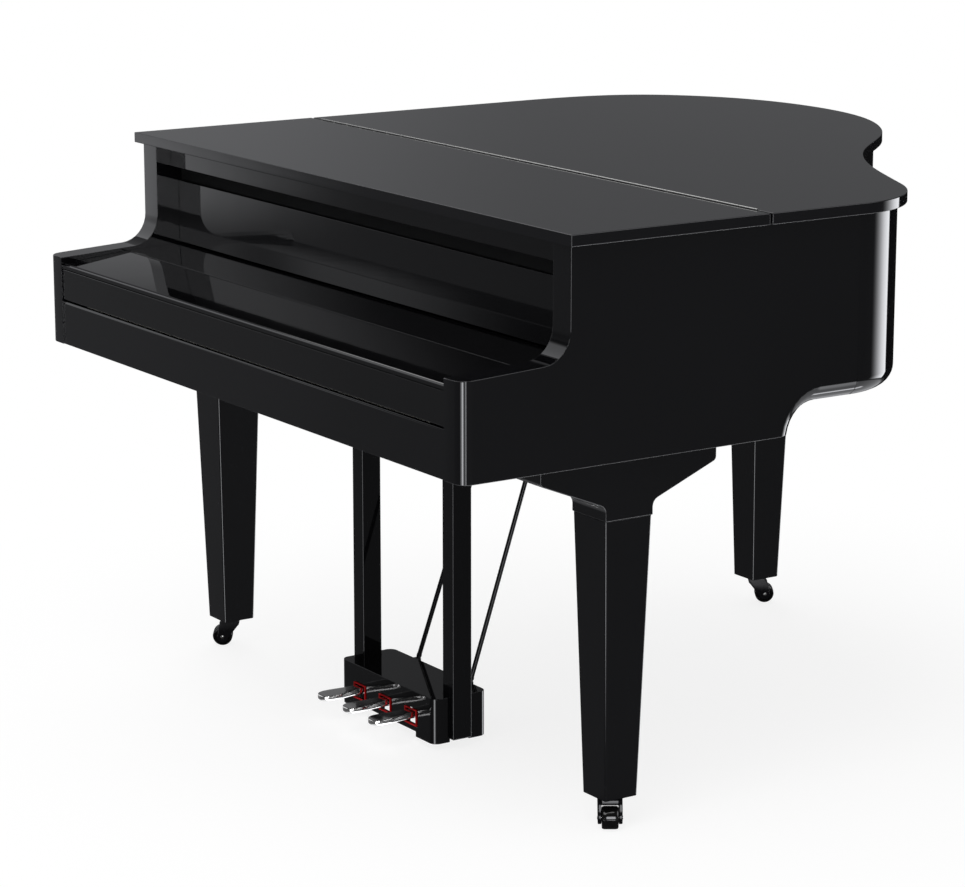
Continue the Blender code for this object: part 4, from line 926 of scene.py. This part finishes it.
# %% [markdown]
# Small black plates in front of the knuckles are painted shade: they stand for the shadow in the gap under the
# barrel, and they break the bright line into dashes. They ride with the flap, so they turn away with it when it
# folds back. One plate is shaped, and an array repeats it.
# %% Painted shade plates of the hinge
# Painted shade: black plates stand for the shadow in the gap in front of the hinge barrel.
SHADE_PLATE_GAP, SHADE_PLATE_FRONT, SHADE_PLATE_REAR, SHADE_PLATE_TOP = 0.0045, HINGE_Y - 0.0027, HINGE_Y - BARREL_R - 0.0001, 1.0513
shade_plate = block("fold_hinge_shade_plates", (-HINGE_HALF + SHADE_PLATE_GAP, SHADE_PLATE_FRONT, LEAF_HIGH),
             (-HINGE_HALF + KNUCKLE - SHADE_PLATE_GAP, SHADE_PLATE_REAR, SHADE_PLATE_TOP))
soften(shade_plate, 0.0001, 1)
hand_over(repeat(shade_plate, KNUCKLE_COUNT, KNUCKLE), "control_black", "flap")
print("plates:", KNUCKLE_COUNT, "with", len(shade_plate.data.polygons), "faces")

# %% [markdown]
# The hinge on the bass side, the prop and its bracket, and the music desk show when the lid is open.
# %% Side hinge, prop and music desk
for node, finish, width, segments in (
        ("side_hinge_case_leaf", "hinge_nickel", 0.0003, 2), ("side_hinge_lid_leaf", "hinge_nickel", 0.0003, 2),
        ("prop_bracket", "hinge_nickel", 0.0006, 2), ("lid_prop", "prop_ebony", 0.0010, 3),
        ("music_rest", "desk_ebony", 0.0020, 4)):
    dress(node, finish, width, segments)
print("hinge, prop and desk:", made[-5:])

# %% [markdown]
# Every loudspeaker is spun from one section: a flat frame ring, the half-round roll of the surround, the
# cone, and the dust cap in the middle, with the basket and magnet below the deck. Four screws hold its ring,
# all copies of one head.
# %% Loudspeakers
SPEAKERS = {"bass_speaker": (-0.34, 0.19, 0.105), "treble_speaker": (0.13, 0.14, 0.070)}
SOUND_TOP, SPEAKER_HOLE = 0.7920, 0.86
SCREW_SECTION = [(0.0, 0.0012), (0.0016, 0.0011), (0.0028, 0.0004), (0.0030, -0.0004), (0.0, -0.0004)]


def arc(radius, height, wide, tall, start, end, steps, first=0):
    """Points on an arc about (radius, height), with its angles in degrees."""
    turns = (math.radians(start + (end - start) * i / steps) for i in range(first, steps + 1))
    return [(radius + wide * math.cos(turn), height + tall * math.sin(turn)) for turn in turns]


def loudspeaker(node, x, y, r):
    top = SOUND_TOP + GAP
    cone, surround = top - 0.0205, top - 0.0034
    inner = r * SPEAKER_HOLE - 0.0006
    section = [(0.0, top - 0.0125)] + arc(0.0, cone, 0.30 * r, 0.008, 90, 0, 5, 1)
    section += [(0.34 * r, cone), (0.50 * r, top - 0.0125), (0.70 * r, top - 0.0040), (0.715 * r, surround)]
    section += arc(0.775 * r, surround, 0.055 * r, 0.0050, 180, 0, 7, 1)
    section += [(0.84 * r, top + 0.0012), (0.86 * r, top + 0.0030), (0.985 * r, top + 0.0030),
                (r, top + 0.0018), (r, top), (inner, top), (inner, top - 0.014), (0.50 * r, top - 0.040),
                (0.50 * r, top - 0.056), (0.0, top - 0.056)]
    piece = lathe(node + "_finished", section, (x, y, 0), steps=56)
    smooth(piece, 35)
    hand_over(piece, "speaker_cone", stands_for=(node,))
    for i, (u, v) in enumerate(arc(x, y, 0.93 * r, 0.93 * r, 45, 315, 3)):
        place = Matrix.Translation((u, v, top + 0.0031))
        hand_over(copy_to(screw, node + "_screw_" + str(i + 1), place), "rod_steel", "root")
    return piece


screw = smooth(lathe("screw", SCREW_SECTION, (0, 0, 0), steps=20))
for node, (x, y, r) in SPEAKERS.items():
    piece = loudspeaker(node, x, y, r)
    print(piece.name, len(piece.data.polygons), "faces")
bpy.data.objects.remove(screw)

# %% [markdown]
# The keys are two sets, white and black, with real gaps between them. Their edges are rounded by about half a
# millimetre on the white caps and a little more on the black keys.
# %% Keys
dress("white_keys", "white_key", 0.0006, 2)
dress("black_keys", "black_key", 0.0012, 3)
print(made[-2:])

# %% [markdown]
# Two controls sit on the key blocks under the cover. The power button is round, with a shallow dish for the
# finger, so it is spun from its section.
# %% Power button
BUTTON_R = 0.0070
low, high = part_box("power_button")
centre = (low + high) / 2
# Share of the radius, and depth below the top, along the dish and the rim.
DISH = [(0.0, 0.0006), (0.45, 0.0005), (0.78, 0.0001), (0.86, 0.0), (0.96, 0.0003), (1.0, 0.0008)]
section = [(BUTTON_R * share, high.z - drop) for share, drop in DISH] + [(BUTTON_R, low.z), (0.0, low.z)]
button = lathe("power_button_finished", section, (centre.x, centre.y, 0), steps=40)
smooth(button, 35)
hand_over(button, "control_black", stands_for=("power_button",))
print(button.name, len(button.data.polygons), "faces")

# %% [markdown]
# The volume knob's side is fluted for the fingers: every second face of a cylinder with many sides is inset
# and pushed in. Its top gets a shallow round recess in the same way.
# %% Volume knob
KNOB_R, FLUTE_TURN = 0.0095, 15
low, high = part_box("volume_knob")
centre = (low + high) / 2
select_none()
bpy.ops.mesh.primitive_cylinder_add(vertices=48, radius=KNOB_R, depth=high.z - low.z, location=centre)
knob = settle(bpy.context.object)
knob.name = "volume_knob_finished"


def flute(middle, normal):
    """Every second face of the side."""
    turn = math.degrees(math.atan2(middle.y - centre.y, middle.x - centre.x)) % FLUTE_TURN
    return abs(normal.z) < 0.5 and turn < FLUTE_TURN / 2


flutes = pick(knob, "FACE", flute)
bpy.ops.mesh.inset(thickness=0.00025, depth=-0.0004, use_individual=True)
done()
pick(knob, "FACE", lambda middle, normal: normal.z > 0.9)
bpy.ops.mesh.inset(thickness=0.0016, depth=0.0)
bpy.ops.mesh.inset(thickness=0.0004, depth=-0.0005)
done()
soften(knob, 0.0003, 2)
hand_over(knob, "control_black", stands_for=("volume_knob",))
print("flutes", flutes)

# %% [markdown]
# Studio light for polished black is all about what the surfaces mirror. Reflected rays see a dark room that is
# a little paler above, a pale floor below, and narrow bright panels that draw the edges and the roundings.
# Rays from the camera see plain white, and matt surfaces get an even light.
# %% World
world = bpy.data.worlds.new("studio")
bpy.context.scene.world = world
world.use_nodes = True
world.cycles.sampling_method = "NONE"
tree = world.node_tree
tree.nodes.clear()
links = tree.links


def math_node(operation, a, b=None):
    node = tree.nodes.new("ShaderNodeMath")
    node.operation = operation
    for i, value in enumerate((a, b)):
        if value is None:
            continue
        if isinstance(value, (int, float)):
            node.inputs[i].default_value = value
        else:
            links.new(value, node.inputs[i])
    return node.outputs[0]


def fade(value, start, end, low=0.0, high=1.0):
    """A smooth step from one value to another."""
    node = tree.nodes.new("ShaderNodeMapRange")
    node.interpolation_type = "SMOOTHSTEP"
    for key, number in (("From Min", start), ("From Max", end), ("To Min", low), ("To Max", high)):
        node.inputs[key].default_value = number
    links.new(value, node.inputs["Value"])
    return node.outputs["Result"]


way = tree.nodes.new("ShaderNodeTexCoord").outputs["Generated"]
axes = tree.nodes.new("ShaderNodeSeparateXYZ")
links.new(way, axes.inputs[0])
turn = math_node("ARCTAN2", axes.outputs["Y"], axes.outputs["X"])
azimuth = math_node("MULTIPLY", turn, 180 / math.pi)
height = axes.outputs["Z"]


# %% [markdown]
# A light panel is a patch of the sky with soft edges. It needs no lamp: it is a number that fades from one
# inside the patch to nothing outside it, times its strength, and it is added to what the room gives.
# %% Helpers for light
def lit(kind, strength, colour=None):
    """A background or an emission with its strength and colour."""
    node = tree.nodes.new(kind)
    if colour:
        node.inputs["Color"].default_value = (*colour, 1)
    if isinstance(strength, float):
        node.inputs["Strength"].default_value = strength
    else:
        links.new(strength, node.inputs["Strength"])
    return node.outputs[0]


def mixed(factor, first, second):
    node = tree.nodes.new("ShaderNodeMixShader")
    for key, socket in (("Fac", factor), (1, first), (2, second)):
        links.new(socket, node.inputs[key])
    return node.outputs[0]


def panel_light(start, full, fall, end, low, high, soft, strength):
    """A bright panel between azimuths in degrees, and between two heights of the view direction."""
    across = math_node("MULTIPLY", fade(azimuth, start, full), fade(azimuth, fall, end, 1.0, 0.0))
    up = math_node("MULTIPLY", fade(height, low - soft, low), fade(height, high, high + soft, 1.0, 0.0))
    return math_node("MULTIPLY", math_node("MULTIPLY", across, up), strength)


# %% [markdown]
# The room is nearly dark. Its greys change slowly from side to side and upwards, so that flat black boards
# differ in tone as in the picture. Below the horizon it is darker still, until steep rays find the pale floor.
# %% Dark room and pale floor
upper = fade(azimuth, 145, 152, 0.155, 0.235)
for value, start, end, low, high in ((height, 0.14, 0.245, 1.0, 1.25), (height, 0.245, 0.275, 1.0, 0.52),
                                     (axes.outputs["Y"], -0.30, 0.10, 0.45, 1.0)):
    upper = math_node("MULTIPLY", upper, fade(value, start, end, low, high))
treble_low = fade(axes.outputs["X"], 0.62, 0.97, 0.10, 0.17)
bass_low = fade(math_node("MULTIPLY", axes.outputs["X"], -1.0), 0.76, 0.97, 0.0, 0.10)
night = panel_light(97, 99, 168, 179, -0.36, -0.05, 0.05, 1.0)
lower = math_node("MULTIPLY", math_node("ADD", treble_low, bass_low), fade(night, 0.0, 1.0, 1.0, 0.08))
above = fade(height, -0.06, 0.10)
room = math_node("ADD", math_node("MULTIPLY", upper, above),
                 math_node("MULTIPLY", lower, math_node("SUBTRACT", 1.0, above)))
depth = math_node("MULTIPLY", height, -1.0)
reach = math_node("ADD", axes.outputs["X"], math_node("MULTIPLY", depth, 0.8))
below = math_node("MULTIPLY", fade(depth, 0.41, 0.47), fade(reach, 0.92, 1.04, 0.9, 3.6))
below = math_node("MULTIPLY", below, fade(axes.outputs["X"], -0.75, -0.50, 0.25, 1.0))
print("room:", len(tree.nodes), "nodes")

# %% [markdown]
# Most panels were found by following a bright line of the picture back from the surface that mirrors it. A
# row gives the azimuths where the panel starts, is full, falls and ends, its two heights, their softness,
# and its strength.
# %% Panels
PANELS = {"strip below the arch": (73, 78, 84, 88, -0.83, -0.71, 0.04, 5.0),
          "upright edges": (-66, -60, -54, -48, -0.34, -0.15, 0.05, 7.6),
          "glow beside the edges": (-80, -70, -46, -36, -0.34, -0.15, 0.05, 2.2),
          "bass cheek": (-34, -31, -26, -24, -0.24, -0.10, 0.03, 5.2),
          "bentside": (62, 88, 96, 98.5, -0.36, -0.05, 0.05, 5.6),
          "treble roundings": (0, 20, 60, 75, 0.40, 0.80, 0.06, 2.6),
          "corner by the cover": (-36, -33, -25, -22, 0.12, 0.40, 0.08, 9.0),
          "front, bass end": (-181, -180, -153.0, -148.4, -0.145, 0.75, 0.022, 0.88),
          "front, middle": (-150, -148.6, -148, -145, 0.08, 0.17, 0.02, 0.65)}
studio = math_node("ADD", room, below)
for sizes in PANELS.values():
    studio = math_node("ADD", studio, panel_light(*sizes))

rays = tree.nodes.new("ShaderNodeLightPath").outputs
mirror = lit("ShaderNodeBackground", studio, (0.955, 0.965, 1.0))
matt = lit("ShaderNodeBackground", 0.50, (0.8, 0.8, 0.8))
white = lit("ShaderNodeBackground", 1.0, (1.0, 1.0, 1.0))
seen_by_mirror = math_node("MAXIMUM", rays["Is Glossy Ray"], rays["Is Transmission Ray"])
light = mixed(rays["Is Camera Ray"], mixed(seen_by_mirror, matt, mirror), white)
links.new(light, tree.nodes.new("ShaderNodeOutputWorld").inputs["Surface"])
print("panels:", len(PANELS), "world nodes:", len(tree.nodes))

# %% [markdown]
# Two large soft lamps above give matt surfaces their shape and the floor its soft shadow. Together with the
# world they light a white card to about white, so colours render as they are written.
# %% Lamps
LAMP_SIZE, LAMP_AIM = 2.6, Vector((0, 0, 0.5))
for name, place, power in (("key_lamp", (1.6, -2.4, 4.2), 70.0), ("fill_lamp", (-2.6, 0.8, 4.0), 34.0)):
    select_none()
    bpy.ops.object.light_add(type="AREA", location=place)
    lamp = bpy.context.object
    lamp.name = name
    lamp.data.size = LAMP_SIZE
    lamp.data.energy = power
    lamp.rotation_euler = (LAMP_AIM - Vector(place)).to_track_quat("-Z", "Y").to_euler()
    print(name, power, "W")

# %% [markdown]
# The floor is a wide white sheet. Under the piano it is matt and takes the shadow; further out it passes
# smoothly into plain white, so no edge or horizon shows. Mirror-like surfaces look past it to the studio. The
# exception is a patch of painted shade close round each caster: only mirror rays see it, and it keeps the
# casters black.
# %% Floor
select_none()
bpy.ops.mesh.primitive_plane_add(size=60, location=(0, 0, 0))
floor = bpy.context.object
floor.name = "studio_floor"
FLOOR_FADE, FOOT_SHADE = (0.5, 1.7), (0.13, 0.19)
sheet = bpy.data.materials.new("floor_white")
sheet.use_nodes = True
tree, links = sheet.node_tree, sheet.node_tree.links
tree.nodes.clear()
matt_white = tree.nodes.new("ShaderNodeBsdfDiffuse")
matt_white.inputs["Color"].default_value = (0.26, 0.26, 0.26, 1)
near = tree.nodes.new("ShaderNodeAddShader")
links.new(matt_white.outputs[0], near.inputs[0])
links.new(lit("ShaderNodeEmission", 0.82), near.inputs[1])
spot = tree.nodes.new("ShaderNodeTexCoord").outputs["Object"]


def away_from(x, y):
    """Distance on the floor from a place."""
    node = tree.nodes.new("ShaderNodeVectorMath")
    node.operation = "DISTANCE"
    node.inputs[1].default_value = (x, y, 0)
    links.new(spot, node.inputs[0])
    return node.outputs["Value"]


seen = mixed(fade(away_from(0, 0), *FLOOR_FADE), near.outputs[0], lit("ShaderNodeEmission", 1.0))
foot_shade = None
for x, y, _ in CASTER_SPOTS.values():
    dark = fade(away_from(x, y), *FOOT_SHADE)
    foot_shade = dark if foot_shade is None else math_node("MINIMUM", foot_shade, dark)
past = tree.nodes.new("ShaderNodeBsdfTransparent").outputs[0]
# Painted shade: mirror rays close round each caster see a near-black emission instead of the studio.
mirrored = mixed(foot_shade, lit("ShaderNodeEmission", 0.02), past)
rays = tree.nodes.new("ShaderNodeLightPath").outputs
out = tree.nodes.new("ShaderNodeOutputMaterial")
links.new(mixed(rays["Is Glossy Ray"], seen, mirrored), out.inputs["Surface"])
floor.data.materials.append(sheet)
print("floor turns plain white from", FLOOR_FADE[0], "to", FLOOR_FADE[1], "m")

print("pieces:", len(made), "faces:", sum(count for _, count in made))
